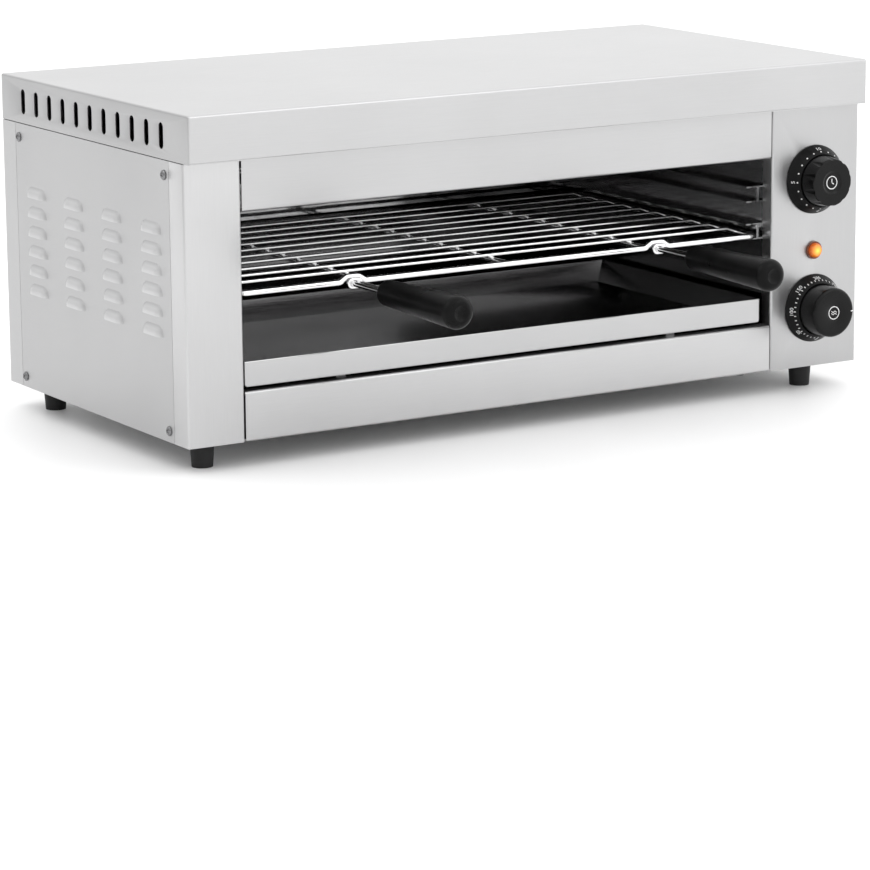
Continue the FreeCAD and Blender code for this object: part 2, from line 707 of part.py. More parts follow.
lipEnd = "coverOverhang + lipDepth + seamGap"
roof = new_body("reflector")
pad(roof, "roof_sheet", outline(roof, "roof_plan", "XY_Plane", "-ceilingDrop",
    [("openLeft + seamGap", "bodyBack"), ("openRight - seamGap", "bodyBack"), ("openRight - seamGap", lipEnd),
     ("wallRight + sheetGauge", lipEnd), ("wallRight + sheetGauge", "chamberBack + sheetGauge"),
     ("wallLeft - sheetGauge", "chamberBack + sheetGauge"), ("wallLeft - sheetGauge", lipEnd),
     ("openLeft + seamGap", lipEnd)]), "sheetGauge")
place(roof)
floor = new_body("chamber_floor")
pad(floor, "floor_sheet", outline(floor, "floor_plan", "XY_Plane", "deckTop - sheetGauge",
    [("openLeft + seamGap", "bodyBack"), ("openRight - seamGap", "bodyBack"), ("openRight - seamGap", lipEnd),
     ("wallRight", lipEnd), ("wallRight", "chamberBack + sheetGauge"), ("wallLeft", "chamberBack + sheetGauge"),
     ("wallLeft", lipEnd), ("openLeft + seamGap", lipEnd)]), "sheetGauge")
for side, sign in (("left", "-1"), ("right", "1")):
    middle = "openMid + (%s)*ribSpread" % sign
    pad(floor, "floor_rib_" + side, outline(floor, "floor_rib_plan_" + side, "XY_Plane", "deckTop",
        rectangle(middle + " - ribWidth/2", lipEnd, middle + " + ribWidth/2", "chamberBack - 2*lipDepth")),
        "trayLift - runGap")
place(floor)


# Rails: channels that open toward the middle of the chamber, three on each wall
def rail(side, level, step):
    body = new_body("rail_%s_%s" % (side, level))
    wall, turn = ("wallLeft", "1") if side == "left" else ("wallRight", "-1")
    middle = "(-railDrop + (%s)*railPitch)" % step
    web, tip = "%s + (%s)*sheetGauge" % (wall, turn), "%s + (%s)*railReach" % (wall, turn)
    low, high = middle + " - railHeight/2", middle + " + railHeight/2"
    section = [(wall, low), (tip, low), (tip, low + " + sheetGauge"), (web, low + " + sheetGauge"),
               (web, high + " - sheetGauge"), (tip, high + " - sheetGauge"), (tip, high), (wall, high)]
    sketch = outline(body, "rail_section_%s_%s" % (side, level), "XZ_Plane", "railEndGap - chamberBack", section)
    pad(body, "rail_run_%s_%s" % (side, level), sketch, "chamberBack - railEndGap - coverOverhang - railStart")
    place(body)


for level, step in (("upper", "1"), ("middle", "0"), ("lower", "-1")):
    rail("left", level, step)
    rail("right", level, step)

# Drip tray: side walls that lean out, flat front and back, a narrow turned rim at the front
tray = new_body("drip_tray")
foot = "(trayHalf - trayFlare)"
tg = "sheetGauge"
traySection = [("-trayHalf", "trayHeight"), ("-" + foot, "0"), (foot, "0"), ("trayHalf", "trayHeight"),
               ("trayHalf - " + tg, "trayHeight"), (foot + " - " + tg, tg), (tg + " - " + foot, tg),
               (tg + " - trayHalf", "trayHeight")]
pad(tray, "tray_trough", outline(tray, "tray_section", "XZ_Plane", "-trayDepth", traySection), "trayDepth")
trayEnd = [("-trayHalf", "trayHeight"), ("-" + foot, "0"), (foot, "0"), ("trayHalf", "trayHeight")]
pad(tray, "tray_back", outline(tray, "tray_back_outline", "XZ_Plane", "-trayDepth", trayEnd), "sheetGauge")
pad(tray, "tray_front", outline(tray, "tray_front_outline", "XZ_Plane", "-sheetGauge",
    rectangle("-trayHalf", "0", "trayHalf", "trayHeight")), "sheetGauge")
fillet(tray, "tray_front_corners", "trayCorner", {"x": "-trayHalf", "z": "0"}, {"x": "trayHalf", "z": "0"})
pad(tray, "tray_rim", outline(tray, "tray_rim_plan", "XY_Plane", "trayHeight - sheetGauge",
    rectangle("sheetGauge - trayHalf", "sheetGauge/2", "trayHalf - sheetGauge", "4*sheetGauge")), "sheetGauge")
fillet(tray, "tray_corners", "0.9*sheetGauge", {"y": "0", "z": "trayHeight"}, {"y": "0", "z": "0"})
place(tray, "openMid - trayShift", "frontY + trayY", "coverLowZ + trayLow")

# Rack frame: one thick wire bent round, raised in an arch over each handle
frameHalf = "(rackHalf - frameWire/2)"
front = []
for sign in (-1, 1):
    for offset, rise in (("-archFoot/2", "0"), ("-archTop/2", "archRise"), ("archTop/2", "archRise"),
                         ("archFoot/2", "0")):
        front.append((vec("openMid + (%d)*handleSpread + %s" % (sign, offset), "rackY", "wireZ + " + rise),
                      num("frameWire")))
corner = num("frameCorner")
loop = [(vec("openMid - " + frameHalf, "rackY", "wireZ"), corner)] + front
loop += [(vec("openMid + " + frameHalf, "rackY", "wireZ"), corner),
         (vec("openMid + " + frameHalf, "rackBackY", "wireZ"), corner),
         (vec("openMid - " + frameHalf, "rackBackY", "wireZ"), corner)]
frame = tube(route(loop, True), num("frameWire"))
place(made("rack_frame", frame))

# Thin wires of the rack: their ends bend down and are coped to the side wires
gridWires = []
for index in range(int(num("gridCount"))):
    y = "rackY + gridFirst + %d*gridPitch" % index
    bend = 1.5 * num("gridWire")
    points = [(vec("openMid - " + frameHalf, y, "wireZ"), 0),
              (vec("openMid - %s + gridDropLength" % frameHalf, y, "gridZ"), bend),
              (vec("openMid + %s - gridDropLength" % frameHalf, y, "gridZ"), bend),
              (vec("openMid + " + frameHalf, y, "wireZ"), 0)]
    gridWires.append(tube(route(points), num("gridWire")).cut(frame))
place(made("rack_wires", Part.makeCompound([solid for wire in gridWires for solid in wire.Solids])))
crossWires = []
for step in (-1, 0, 1):
    x = "openMid + (%d)*crossSpread" % step
    wire = rod(num("crossWire"), vec(x, "rackY", "wireZ"), vec(x, "rackBackY", "wireZ"))
    crossWires += wire.cut(frame).Solids
place(made("rack_cross_wires", Part.makeCompound(crossWires)))


# Rack handles: a wire doubled back on itself, a collar that grips it, a turned black grip
def handle(side, sign):
    x = "(openMid + (%d)*handleSpread)" % sign
    one, other = x + " - stemSpacing/2", x + " + stemSpacing/2"
    end, closed = "rackY - stemLength - stemInGrip", "rackY + stemBack - stemSpacing/2 - stemWire/2"
    leftRun = Part.LineSegment(vec(one, end, "stemZ"), vec(one, closed, "stemZ")).toShape()
    bend = Part.Arc(vec(one, closed, "stemZ"), vec(x, closed + " + stemSpacing/2", "stemZ"),
                    vec(other, closed, "stemZ")).toShape()
    rightRun = Part.LineSegment(vec(other, closed, "stemZ"), vec(other, end, "stemZ")).toShape()
    stem = tube(Part.Wire([leftRun, bend, rightRun]), num("stemWire"))
    wide, tall = "(stemSpacing/2 + stemWire/2 + ringWire/2 - 0.3)", "(stemWire/2 + ringWire/2 - 0.3)"
    front = "rackY - frameWire/2 - ringWire/2 - 0.05"
    collar = [(vec("%s %s %s" % (x, a, wide), front, "stemZ %s %s" % (b, tall)), num(tall) - 0.1)
              for a, b in (("-", "-"), ("+", "-"), ("+", "+"), ("-", "+"))]
    place(made("handle_stem_" + side, stem.fuse(tube(route(collar, True), num("ringWire")))))
    length = "gripLength"
    grip = turned("grip_" + side, "YZ_Plane", "Y_Axis",
                  [("0", "0"), ("0", "gripInnerWidth/2"), ("-" + length, "gripOuterWidth/2"), ("-" + length, "0")])
    fillet(grip, "grip_ends_" + side, "gripRound", {"y": "-gripLength", "z": "gripOuterWidth/2"})
    fillet(grip, "grip_back_" + side, "sheetGauge", {"y": "0", "z": "gripInnerWidth/2"})
    groove = grip.newObject("PartDesign::Groove", "grip_dimple_" + side)
    dish = "(gripOuterWidth/2 - gripRound - sheetGauge/4)"
    groove.Profile = outline(grip, "grip_dimple_outline_" + side, "YZ_Plane", "0",
                             [("-gripLength - 1", "0"), ("-gripLength - 1", dish), ("-gripLength", dish),
                              ("-gripLength + 0.9", "0.7*" + dish), ("-gripLength + 1.6", "0.4*" + dish),
                              ("-gripLength + 1.8", "0")])
    groove.ReferenceAxis = (origin_part(grip, "Y_Axis"), [""])
    groove.Angle = 360
    doc.recompute()
    reach, rise = "(stemSpacing/2 + stemWire/2 + holeClearance)", "(stemWire/2 + holeClearance)"
    pocket(grip, "grip_socket_" + side, outline(grip, "grip_slot_" + side, "XZ_Plane", "0",
           rectangle("-" + reach, "-" + rise, reach, rise)), "stemInGrip + holeClearance")
    place(grip, x, "frontY + rackY - stemLength", "coverLowZ + stemZ")


handle("left", -1)
handle("right", 1)


# Heating elements: two hairpins below the reflector, their tails in the right compartment
def element(name, middle):
    low, high = middle + " - elementSpacing/2", middle + " + elementSpacing/2"
    tail = "wallRight + sheetGauge + elementTail"
    turn = "wallLeft + elementEndGap + elementWire/2 + elementSpacing/2"
    first = Part.LineSegment(vec(tail, low, "elementZ"), vec(turn, low, "elementZ")).toShape()
    bend = Part.Arc(vec(turn, low, "elementZ"), vec(turn + " - elementSpacing/2", middle, "elementZ"),
                    vec(turn, high, "elementZ")).toShape()
    second = Part.LineSegment(vec(turn, high, "elementZ"), vec(tail, high, "elementZ")).toShape()
    place(made(name, tube(Part.Wire([first, bend, second]), num("elementWire"))))


element("element_front", "elementY - elementPitch/2")
element("element_rear", "elementY + elementPitch/2")
bore = num("elementWire + 2*holeClearance")
bushes, strapHoles = [], []
for y in legs:
    flange = rod(num("bushWidth"), vec("wallRight + sheetGauge", y, "elementZ"),
                 vec("wallRight + sheetGauge + bushLength", y, "elementZ"))
    neck = rod(num(wallHole) - 2 * num("holeClearance"), vec("wallRight", y, "elementZ"),
               vec("wallRight + sheetGauge", y, "elementZ"))
    hole = rod(bore, vec("wallLeft", y, "elementZ"), vec("rightX", y, "elementZ"))
    bushes.append(flange.fuse(neck).cut(hole))
    strapHoles.append(hole)
place(made("element_bushes", Part.makeCompound(bushes)))
straps = []
for sign in (-1, 1):
    x = "openMid + (%d)*strapSpread" % sign
    strap = brick(x, "elementY - elementPitch/2 - elementSpacing/2 - elementWire",
                  "-ceilingDrop - strapHeight", x + " + sheetGauge",
                  "elementY + elementPitch/2 + elementSpacing/2 + elementWire", "-ceilingDrop")
    straps.append(strap.cut(strapHoles))
place(made("element_brackets", Part.makeCompound(straps)))

# Thermostat bulb in its clips on the right wall, and its capillary
bulbFront, bulbBack = "(coverOverhang + bulbStart)", "(coverOverhang + bulbStart + bulbLength)"
place(made("thermostat_bulb", rod(num("bulbWidth"), vec("bulbX", bulbFront, "-bulbDrop"),
                                  vec("bulbX", bulbBack, "-bulbDrop"))))
clips = []
for y in (bulbFront + " + bulbWidth", bulbBack + " - 2*bulbWidth"):
    round_ = rod(num("bulbWidth + 2*sheetGauge"), vec("bulbX", y, "-bulbDrop"),
                 vec("bulbX", y + " + bulbWidth", "-bulbDrop"))
    arm = brick("bulbX", y, "-bulbDrop - sheetGauge", "wallRight", y + " + bulbWidth", "-bulbDrop + sheetGauge")
    plate = brick("wallRight - sheetGauge", y, "-bulbDrop - bulbWidth", "wallRight", y + " + bulbWidth",
                  "-bulbDrop + bulbWidth")
    hole = rod(num("bulbWidth + holeClearance"), vec("bulbX", y + " - 1", "-bulbDrop"),
               vec("bulbX", y + " + bulbWidth + 1", "-bulbDrop"))
    clips.append(round_.fuse([arm, plate]).removeSplitter().cut(hole))
place(made("bulb_clips", Part.makeCompound(clips)))
thin = num("capillaryWidth")
housingBack = "(bodyBack + housingDepth)"
capillary = route([(vec("bulbX", bulbBack, "-bulbDrop"), 0),
                   (vec("bulbX", capillaryY, "-bulbDrop"), 2.5 * thin),
                   (vec("bulbX", capillaryY, capillaryZ), 2.5 * thin),
                   (vec("wallRight + 6*capillaryWidth", capillaryY, capillaryZ), 2.5 * thin),
                   (vec("knobX - housingWidth/4", capillaryY, "-pilotDrop"), 5 * thin),
                   (vec("knobX - housingWidth/4", capillaryY, "-thermostatDrop"), 5 * thin),
                   (vec("knobX - housingWidth/4", housingBack, "-thermostatDrop"), 0)])
place(made("capillary", tube(capillary, thin)))


# Housings behind the panel, with the bore that carries the shaft
def housing(name, drop):
    body = new_body(name)
    width, height = "housingWidth/2", "housingHeight/2"
    pad(body, name + "_block", outline(body, name + "_outline", "XZ_Plane", "-housingDepth",
        rectangle("-" + width, "-" + height, width, height)), "housingDepth")
    fillet(body, name + "_edges", "2*sheetGauge", {"x": "-" + width, "z": "-" + height},
           {"x": width, "z": "-" + height}, {"x": "-" + width, "z": height}, {"x": width, "z": height})
    pocket(body, name + "_bore", circles(body, name + "_round", "XZ_Plane", "0",
           [("0", "0", "shaftWidth + 2*runGap")]), "shaftInBody + runGap", "behind")
    place(body, "knobX", "frontY + bodyBack", "coverLowZ - " + drop)


# A control: a dial ring that rises from the panel to a lip around its knob, and a flatted shaft
def control(name, drop):
    dial = turned(name + "_dial", "YZ_Plane", "Y_Axis",
                  [("0", "dialHole/2"), ("0", "dialMouth + dialBand + dialSkirt"),
                   ("-dialEdge", "dialMouth + dialBand + dialSkirt"), ("-dialShoulder", "dialMouth + dialBand"),
                   ("-dialHeight", "dialMouth + dialLip"), ("-dialHeight", "dialMouth"),
                   ("-dialThickness", "dialMouth"), ("-dialThickness", "dialHole/2")])
    place(dial, "knobX", "frontY + coverOverhang", "coverLowZ - " + drop)
    start, end = "knobY - shaftInKnob", "bodyBack + shaftInBody"
    stick = rod(num("shaftWidth"), vec("knobX", start, "-" + drop), vec("knobX", end, "-" + drop))
    flat = brick("knobX - shaftWidth", start, "-%s + shaftWidth/4" % drop, "knobX + shaftWidth",
                 "knobY", "-%s + shaftWidth" % drop)
    place(made(name + "_shaft", stick.cut(flat)))


housing("timer_body", "timerDrop")
housing("thermostat_body", "thermostatDrop")
control("timer", "timerDrop")
control("thermostat", "thermostatDrop")

# Timer knob: its scallops start at the dial's lip and deepen toward the face, which is dished
tr, tf, th = "knobWidth/2", "timerKnobFace", "timerKnobHeight"
timerKnob = turned("timer_knob", "YZ_Plane", "Y_Axis",
                   [("0", "0"), ("0", tr), ("-knobSeat", tr), ("-" + th, tf + "/2"),
                    ("-" + th, tf + "/4"), ("0.8 - " + th, tf + "/4 - 1.8"), ("0.8 - " + th, "0")])
fillet(timerKnob, "timer_knob_rim", "1.2", {"y": "-" + th, "z": tf + "/2"})
scallop = pocket(timerKnob, "timer_scallop", circles(timerKnob, "timer_scallop_round", "XZ_Plane", "knobSeat + 0.6",
                 [("0", tr + " + 3", "6")]), "timerKnobHeight", "ahead", "timerScallopLean")
lobes = timerKnob.newObject("PartDesign::PolarPattern", "timer_scallops")
lobes.Originals = [scallop]
lobes.Axis = (origin_part(timerKnob, "Y_Axis"), [""])
lobes.Angle = 360
lobes.setExpression("Occurrences", ex("timerLobes"))
timerKnob.Tip = lobes
doc.recompute()
pocket(timerKnob, "timer_knob_bore", circles(timerKnob, "timer_knob_round", "XZ_Plane", "0",
       [("0", "0", "shaftWidth + 2*holeClearance")]), "shaftInKnob + holeClearance")
place(timerKnob, "knobX", "frontY + knobY", "coverLowZ - timerDrop")

# Thermostat knob: smooth, a little narrower at the face
thermoKnob = turned("thermostat_knob", "YZ_Plane", "Y_Axis",
                    [("0", "0"), ("0", "knobWidth/2"), ("-knobSeat", "knobWidth/2"),
                     ("-thermoKnobHeight", "thermoKnobFace/2"), ("-thermoKnobHeight", "thermoKnobFace/6"),
                     ("0.6 - thermoKnobHeight", "thermoKnobFace/6 - 1.2"), ("0.6 - thermoKnobHeight", "0")])
fillet(thermoKnob, "thermostat_knob_rim", "thermoKnobRound", {"y": "-thermoKnobHeight", "z": "thermoKnobFace/2"})
pocket(thermoKnob, "thermostat_knob_bore", circles(thermoKnob, "thermostat_knob_round", "XZ_Plane", "0",
       [("0", "0", "shaftWidth + 2*holeClearance")]), "shaftInKnob + holeClearance")
place(thermoKnob, "knobX", "frontY + knobY", "coverLowZ - thermostatDrop")

# Pilot light: a barrel through the panel with a rim, and a domed lens seated in it
barrel = turned("pilot_body", "YZ_Plane", "Y_Axis",
                [("pilotLength", "0"), ("pilotLength", "pilotBarrel/2"), ("0", "pilotBarrel/2"),
                 ("0", "pilotRim/2"), ("-pilotRimHeight", "pilotRim/2"),
                 ("-pilotRimHeight", "pilotWidth/2 + holeClearance"),
                 ("-pilotRimHeight/3", "pilotWidth/2 + holeClearance"), ("-pilotRimHeight/3", "0")])
place(barrel, "knobX", "frontY + coverOverhang", "coverLowZ - pilotDrop")
lens = turned("pilot_lens", "YZ_Plane", "Y_Axis",
              [("-pilotRimHeight/3", "0"), ("-pilotRimHeight/3", "pilotWidth/2"),
               ("-pilotRimHeight - pilotDome", "pilotWidth/2"), ("-pilotRimHeight - pilotDome", "0")])
fillet(lens, "pilot_lens_dome", "0.9*pilotDome", {"y": "-pilotRimHeight - pilotDome", "z": "pilotWidth/2"})
place(lens, "knobX", "frontY + coverOverhang", "coverLowZ - pilotDrop")

# Terminal block on the base, near the cord's opening
block = new_body("terminal_block")
pad(block, "block_body", outline(block, "block_plan", "XY_Plane", "0",
    rectangle("-blockLength/2", "-blockWidth/2", "blockLength/2", "blockWidth/2")), "blockHeight")
wells = [("(%d)*blockLength/3" % k, "(%d)*blockWidth/4" % j, "blockWidth/5") for k in (-1, 0, 1) for j in (-1, 1)]
pocket(block, "block_wells", circles(block, "block_rounds", "XY_Plane", "blockHeight", wells), "blockHeight/2",
       "behind")
place(block, "glandX", "frontY + coverDepth - 3*blockWidth", "coverLowZ + baseTop")

# Cable gland through the back panel, its nut inside, and the earth stud beside it
gland = turned("cable_gland", "YZ_Plane", "Y_Axis",
               [("-sheetGauge - 2*glandNutHeight", "glandBore/2"), ("-sheetGauge - 2*glandNutHeight", "glandThread/2"),
                ("0", "glandThread/2"), ("0", "glandWidth/2 + 1"), ("4", "glandWidth/2 + 1"), ("4", "glandWidth/2"),
                ("glandReach - 4", "glandWidth/2"), ("glandReach", "glandWidth/2 - 3"), ("glandReach", "glandBore/2")])
place(gland, "glandX", "frontY + coverDepth", "coverLowZ + glandZ")
place(made("gland_nut", nut(vec("glandX", "coverDepth - sheetGauge", "glandZ"), toFront, num("glandNutWidth"),
                            num("glandNutHeight"), num("glandThread + 2*holeClearance"))))
studX = "glandX - 2*glandWidth"
stud = rod(num("screwShank + 1"), vec(studX, "coverDepth - 3*sheetGauge", "glandZ"),
           vec(studX, "coverDepth + 8", "glandZ"))
studNut = nut(vec(studX, "coverDepth", "glandZ"), toBack, 8, 4, num("screwShank + 1"))
studHead = nut(vec(studX, "coverDepth - sheetGauge", "glandZ"), toFront, 8, 3, num("screwShank + 1"))
place(made("earth_stud", stud.fuse([studNut, studHead])))

# Rubber feet, hollow below for the head of the screw that holds them
for name, (x, y) in footSpots.items():
    top = "footHeight + sheetGauge"
    rubber = turned("foot_" + name, "XZ_Plane", "Z_Axis",
                    [("screwHole/2", "footBoreDepth"), ("footBore/2", "footBoreDepth"), ("footBore/2", "0"),
                     ("footLowWidth/2", "0"), ("footTopWidth/2", top), ("screwHole/2", top)])
    place(rubber, x, "frontY + " + y, "0")

# Screws
footScrews = []
for x, y in footSpots.values():
    rest = "footBoreDepth - footHeight - bodyHeight"
    run = num("footHeight + 2*sheetGauge - footBoreDepth + screwLength")
    footScrews.append(screw(vec(x, y, rest), toTop, run))
    footScrews.append(nut(vec(x, y, "baseTop"), toTop, 7, 3.2, num("screwShank")))
place(made("foot_screws", Part.makeCompound(footScrews)))
for side, x, inward in (("left", "leftX", toRight), ("right", "rightX", toLeft)):
    spots = [vec(x, y, z) for y in ("coverOverhang + sideScrewInset", "coverDepth - sideScrewInset")
             for z in ("-sideScrewTop", lowScrew)]
    place(made("side_screws_" + side, Part.makeCompound([screw(p, inward, num("screwLength")) for p in spots])))
place(made("base_screws", Part.makeCompound(
    [screw(vec(x, "coverOverhang + baseScrewInset", "-bodyHeight"), toTop, num("screwLength")) for x in baseScrewX])))
place(made("back_screws", Part.makeCompound(
    [screw(vec(x, "coverDepth", z), toFront, num("screwLength")) for x in backScrewX
     for z in ("slotLevel", lowScrew)])))

doc.recompute()
for item in doc.Objects:
    if "Invalid" in item.State or "Error" in item.State:
        raise RuntimeError(item.Name + " " + str(item.State))
for piece in pieces:
    if piece.Shape.isNull() or not piece.Shape.isValid() or not piece.Shape.Solids:
        raise RuntimeError(piece.Label + " has no sound shape")
os.makedirs("parts", exist_ok=True)
for piece in pieces:
    piece.Shape.exportStep("parts/" + piece.Label + ".step")
print(len(pieces), "pieces")
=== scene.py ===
import math
import bmesh
import bpy
import numpy as np
from mathutils import Matrix, Vector


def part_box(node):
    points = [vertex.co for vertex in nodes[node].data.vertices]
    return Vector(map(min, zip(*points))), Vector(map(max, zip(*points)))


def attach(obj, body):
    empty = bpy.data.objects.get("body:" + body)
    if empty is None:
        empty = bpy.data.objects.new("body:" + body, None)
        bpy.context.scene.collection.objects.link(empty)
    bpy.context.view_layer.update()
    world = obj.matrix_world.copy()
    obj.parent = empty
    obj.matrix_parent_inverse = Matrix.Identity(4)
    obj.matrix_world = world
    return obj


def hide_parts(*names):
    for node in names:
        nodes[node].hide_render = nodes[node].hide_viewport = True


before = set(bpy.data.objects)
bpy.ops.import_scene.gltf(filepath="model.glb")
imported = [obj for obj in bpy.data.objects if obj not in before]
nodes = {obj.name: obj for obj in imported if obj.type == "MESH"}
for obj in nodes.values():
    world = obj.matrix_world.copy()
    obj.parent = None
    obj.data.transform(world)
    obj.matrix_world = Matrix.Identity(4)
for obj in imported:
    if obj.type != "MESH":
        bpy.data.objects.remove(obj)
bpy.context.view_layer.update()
scene = bpy.context.scene
mm = 0.001
print("toaster: frame loaded with", len(nodes), "nodes")

# the camera stands at the front left, a little above the cover, and looks slightly down past the toaster
viewSpot = {"azimuth": -31.26, "elevation": 12.34, "roll": -0.47, "lens": 157.8,
            "aside": 83.9, "below": 229.0, "away": 2890.0}


def placeCamera(spot):
    # axes of the camera from its angles, and its place from how far it stands aside, below and away, along
    # those axes, from the middle of the cover's lower front edge
    az, el, roll = (math.radians(spot[k]) for k in ("azimuth", "elevation", "roll"))
    back = Vector((math.sin(az) * math.cos(el), -math.cos(az) * math.cos(el), math.sin(el)))
    side = Vector((math.cos(az), math.sin(az), 0))
    rise = back.cross(side)
    right = side * math.cos(roll) + rise * math.sin(roll)
    up = rise * math.cos(roll) - side * math.sin(roll)
    coverFront = Vector((0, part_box("top_cover")[0].y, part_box("top_cover")[0].z))
    place = coverFront + (back * spot["away"] - right * spot["aside"] - up * spot["below"]) * mm
    data = bpy.data.cameras.new("view")
    data.lens = spot["lens"]
    data.sensor_width = 36
    camera = bpy.data.objects.new("view", data)
    camera.matrix_world = Matrix((right, up, back)).transposed().to_4x4()
    camera.location = place
    scene.collection.objects.link(camera)
    scene.camera = camera


placeCamera(viewSpot)

# the room is brightest overhead and to the front right, and dims toward the back left
lampKit = {"level": 1.19, "slope": (0.36, -0.10, 0.40),
           "lamps": (("keyLamp", 6.0, 1.2, (0.9, -1.9, 1.9), (0, 0, 0.1)),
                     ("rimLamp", 4.0, 0.9, (-1.4, 0.3, 1.7), (-0.2, 0, 0.15)))}


def lightStudio(kit):
    # brightness of the room = level + direction . slope, so a face takes its tone from where it looks;
    # each lamp is a name, its power, its size, its place and the place that it points at
    world = bpy.data.worlds.new("paleRoom")
    world.use_nodes = True
    tree = world.node_tree
    coords = tree.nodes.new("ShaderNodeTexCoord")
    lean = tree.nodes.new("ShaderNodeVectorMath")
    lean.operation = "DOT_PRODUCT"
    lean.inputs[1].default_value = kit["slope"]
    tree.links.new(coords.outputs["Generated"], lean.inputs[0])
    total = tree.nodes.new("ShaderNodeMath")
    total.inputs[1].default_value = kit["level"]
    tree.links.new(lean.outputs["Value"], total.inputs[0])
    tree.links.new(total.outputs[0], tree.nodes["Background"].inputs["Strength"])
    tree.nodes["Background"].inputs["Color"].default_value = (1, 1, 1, 1)
    scene.world = world
    for name, power, size, spot, aim in kit["lamps"]:
        data = bpy.data.lights.new(name, "AREA")
        data.energy = power
        data.size = size
        lamp = bpy.data.objects.new(name, data)
        lamp.location = spot
        lamp.rotation_euler = (Vector(aim) - Vector(spot)).to_track_quat("-Z", "Y").to_euler()
        scene.collection.objects.link(lamp)
    scene.view_settings.view_transform = "Standard"


lightStudio(lampKit)


# small node helpers
def newMaterial(name):
    material = bpy.data.materials.new(name)
    material.use_nodes = True
    tree = material.node_tree
    return material, tree, tree.nodes["Principled BSDF"]


def objectCoords(tree, stretch):
    coords = tree.nodes.new("ShaderNodeTexCoord")
    mapping = tree.nodes.new("ShaderNodeMapping")
    mapping.inputs["Scale"].default_value = stretch
    tree.links.new(coords.outputs["Object"], mapping.inputs["Vector"])
    return mapping.outputs[0]


def noiseOn(tree, vector, scale, detail=3.0, rough=0.55):
    noise = tree.nodes.new("ShaderNodeTexNoise")
    noise.inputs["Scale"].default_value = scale
    noise.inputs["Detail"].default_value = detail
    noise.inputs["Roughness"].default_value = rough
    tree.links.new(vector, noise.inputs["Vector"])
    return noise.outputs["Fac"]


def rangeOf(tree, value, low, high, start=0.3, end=0.7):
    spread = tree.nodes.new("ShaderNodeMapRange")
    spread.inputs["From Min"].default_value = start
    spread.inputs["From Max"].default_value = end
    spread.inputs["To Min"].default_value = low
    spread.inputs["To Max"].default_value = high
    tree.links.new(value, spread.inputs["Value"])
    return spread.outputs[0]


def tintOf(tree, value, dark, light):
    mix = tree.nodes.new("ShaderNodeMix")
    mix.data_type = "RGBA"
    mix.inputs[6].default_value = (*dark, 1)
    mix.inputs[7].default_value = (*light, 1)
    tree.links.new(value, mix.inputs[0])
    return mix.outputs[2]


def bumpOf(tree, value, strength, distance=0.0004):
    bump = tree.nodes.new("ShaderNodeBump")
    bump.inputs["Strength"].default_value = strength
    bump.inputs["Distance"].default_value = distance
    tree.links.new(value, bump.inputs["Height"])
    return bump.outputs[0]


# noise of the strokes and of the clouds, as how fine, how detailed and how rough it is, and then how far
# each shifts the tint
brushKit = {"strokes": (9.0, 4.0, 0.65), "clouds": (7.0, 2.0), "strokeShare": 0.65, "cloudShare": (0.05, 0.3)}


def brushedSteel(name, grain, dark, light, rough, strokes=0.12):
    # fine strokes run along the grain, as noise drawn out forty times; slow clouds shift the tint
    material, tree, shader = newMaterial(name)
    shader.inputs["Metallic"].default_value = 1.0
    strokeNoise = noiseOn(tree, objectCoords(tree, grain), *brushKit["strokes"])
    cloud = noiseOn(tree, objectCoords(tree, (1, 1, 1)), *brushKit["clouds"])
    blend = tree.nodes.new("ShaderNodeMath")
    blend.operation = "MULTIPLY_ADD"
    blend.inputs[1].default_value = brushKit["strokeShare"]
    tree.links.new(strokeNoise, blend.inputs[0])
    tree.links.new(rangeOf(tree, cloud, *brushKit["cloudShare"]), blend.inputs[2])
    tree.links.new(tintOf(tree, blend.outputs[0], dark, light), shader.inputs["Base Color"])
    tree.links.new(rangeOf(tree, strokeNoise, rough[0], rough[1]), shader.inputs["Roughness"])
    tree.links.new(bumpOf(tree, strokeNoise, strokes), shader.inputs["Normal"])
    return material


# the grain runs along the axis that is stretched least
alongX, alongY, alongZ = (4, 160, 160), (160, 4, 160), (160, 160, 4)
# the tints of these steels are set to how bright each sheet's face looks, so they carry painted light and
# shade
coverSteel = brushedSteel("coverSteel", alongX, (0.445, 0.445, 0.448), (0.54, 0.54, 0.543), (0.30, 0.42))
frontSteel = brushedSteel("frontSteel", alongX, (0.44, 0.44, 0.443), (0.535, 0.535, 0.538), (0.28, 0.40))
postSteel = brushedSteel("postSteel", alongZ, (0.48, 0.48, 0.483), (0.585, 0.585, 0.588), (0.28, 0.40))
panelSteel = brushedSteel("panelSteel", alongZ, (0.41, 0.41, 0.413), (0.50, 0.50, 0.503), (0.28, 0.40))
backSteel = brushedSteel("backSteel", alongX, (0.425, 0.425, 0.428), (0.52, 0.52, 0.523), (0.30, 0.42))
chamberSteel = brushedSteel("chamberSteel", alongY, (0.22, 0.22, 0.222), (0.33, 0.33, 0.333),
                            (0.10, 0.20), 0.05)
chamberBackSteel = brushedSteel("chamberBackSteel", alongX, (0.50, 0.50, 0.503), (0.64, 0.64, 0.643),
                                (0.04, 0.09), 0.03)
railSteel = brushedSteel("railSteel", alongY, (0.60, 0.60, 0.603), (0.74, 0.74, 0.744), (0.10, 0.20), 0.05)
traySteel = brushedSteel("traySteel", alongX, (0.40, 0.40, 0.403), (0.50, 0.50, 0.503), (0.10, 0.20), 0.05)
# the side panels' steel is painted darker than the front's, as painted shade on the faces turned away from
# the light
sideSteels = {side: brushedSteel("sideSteel_" + side, alongY, (0.40, 0.40, 0.403), (0.49, 0.49, 0.493),
                                 (0.30, 0.42))
              for side in ("left", "right")}


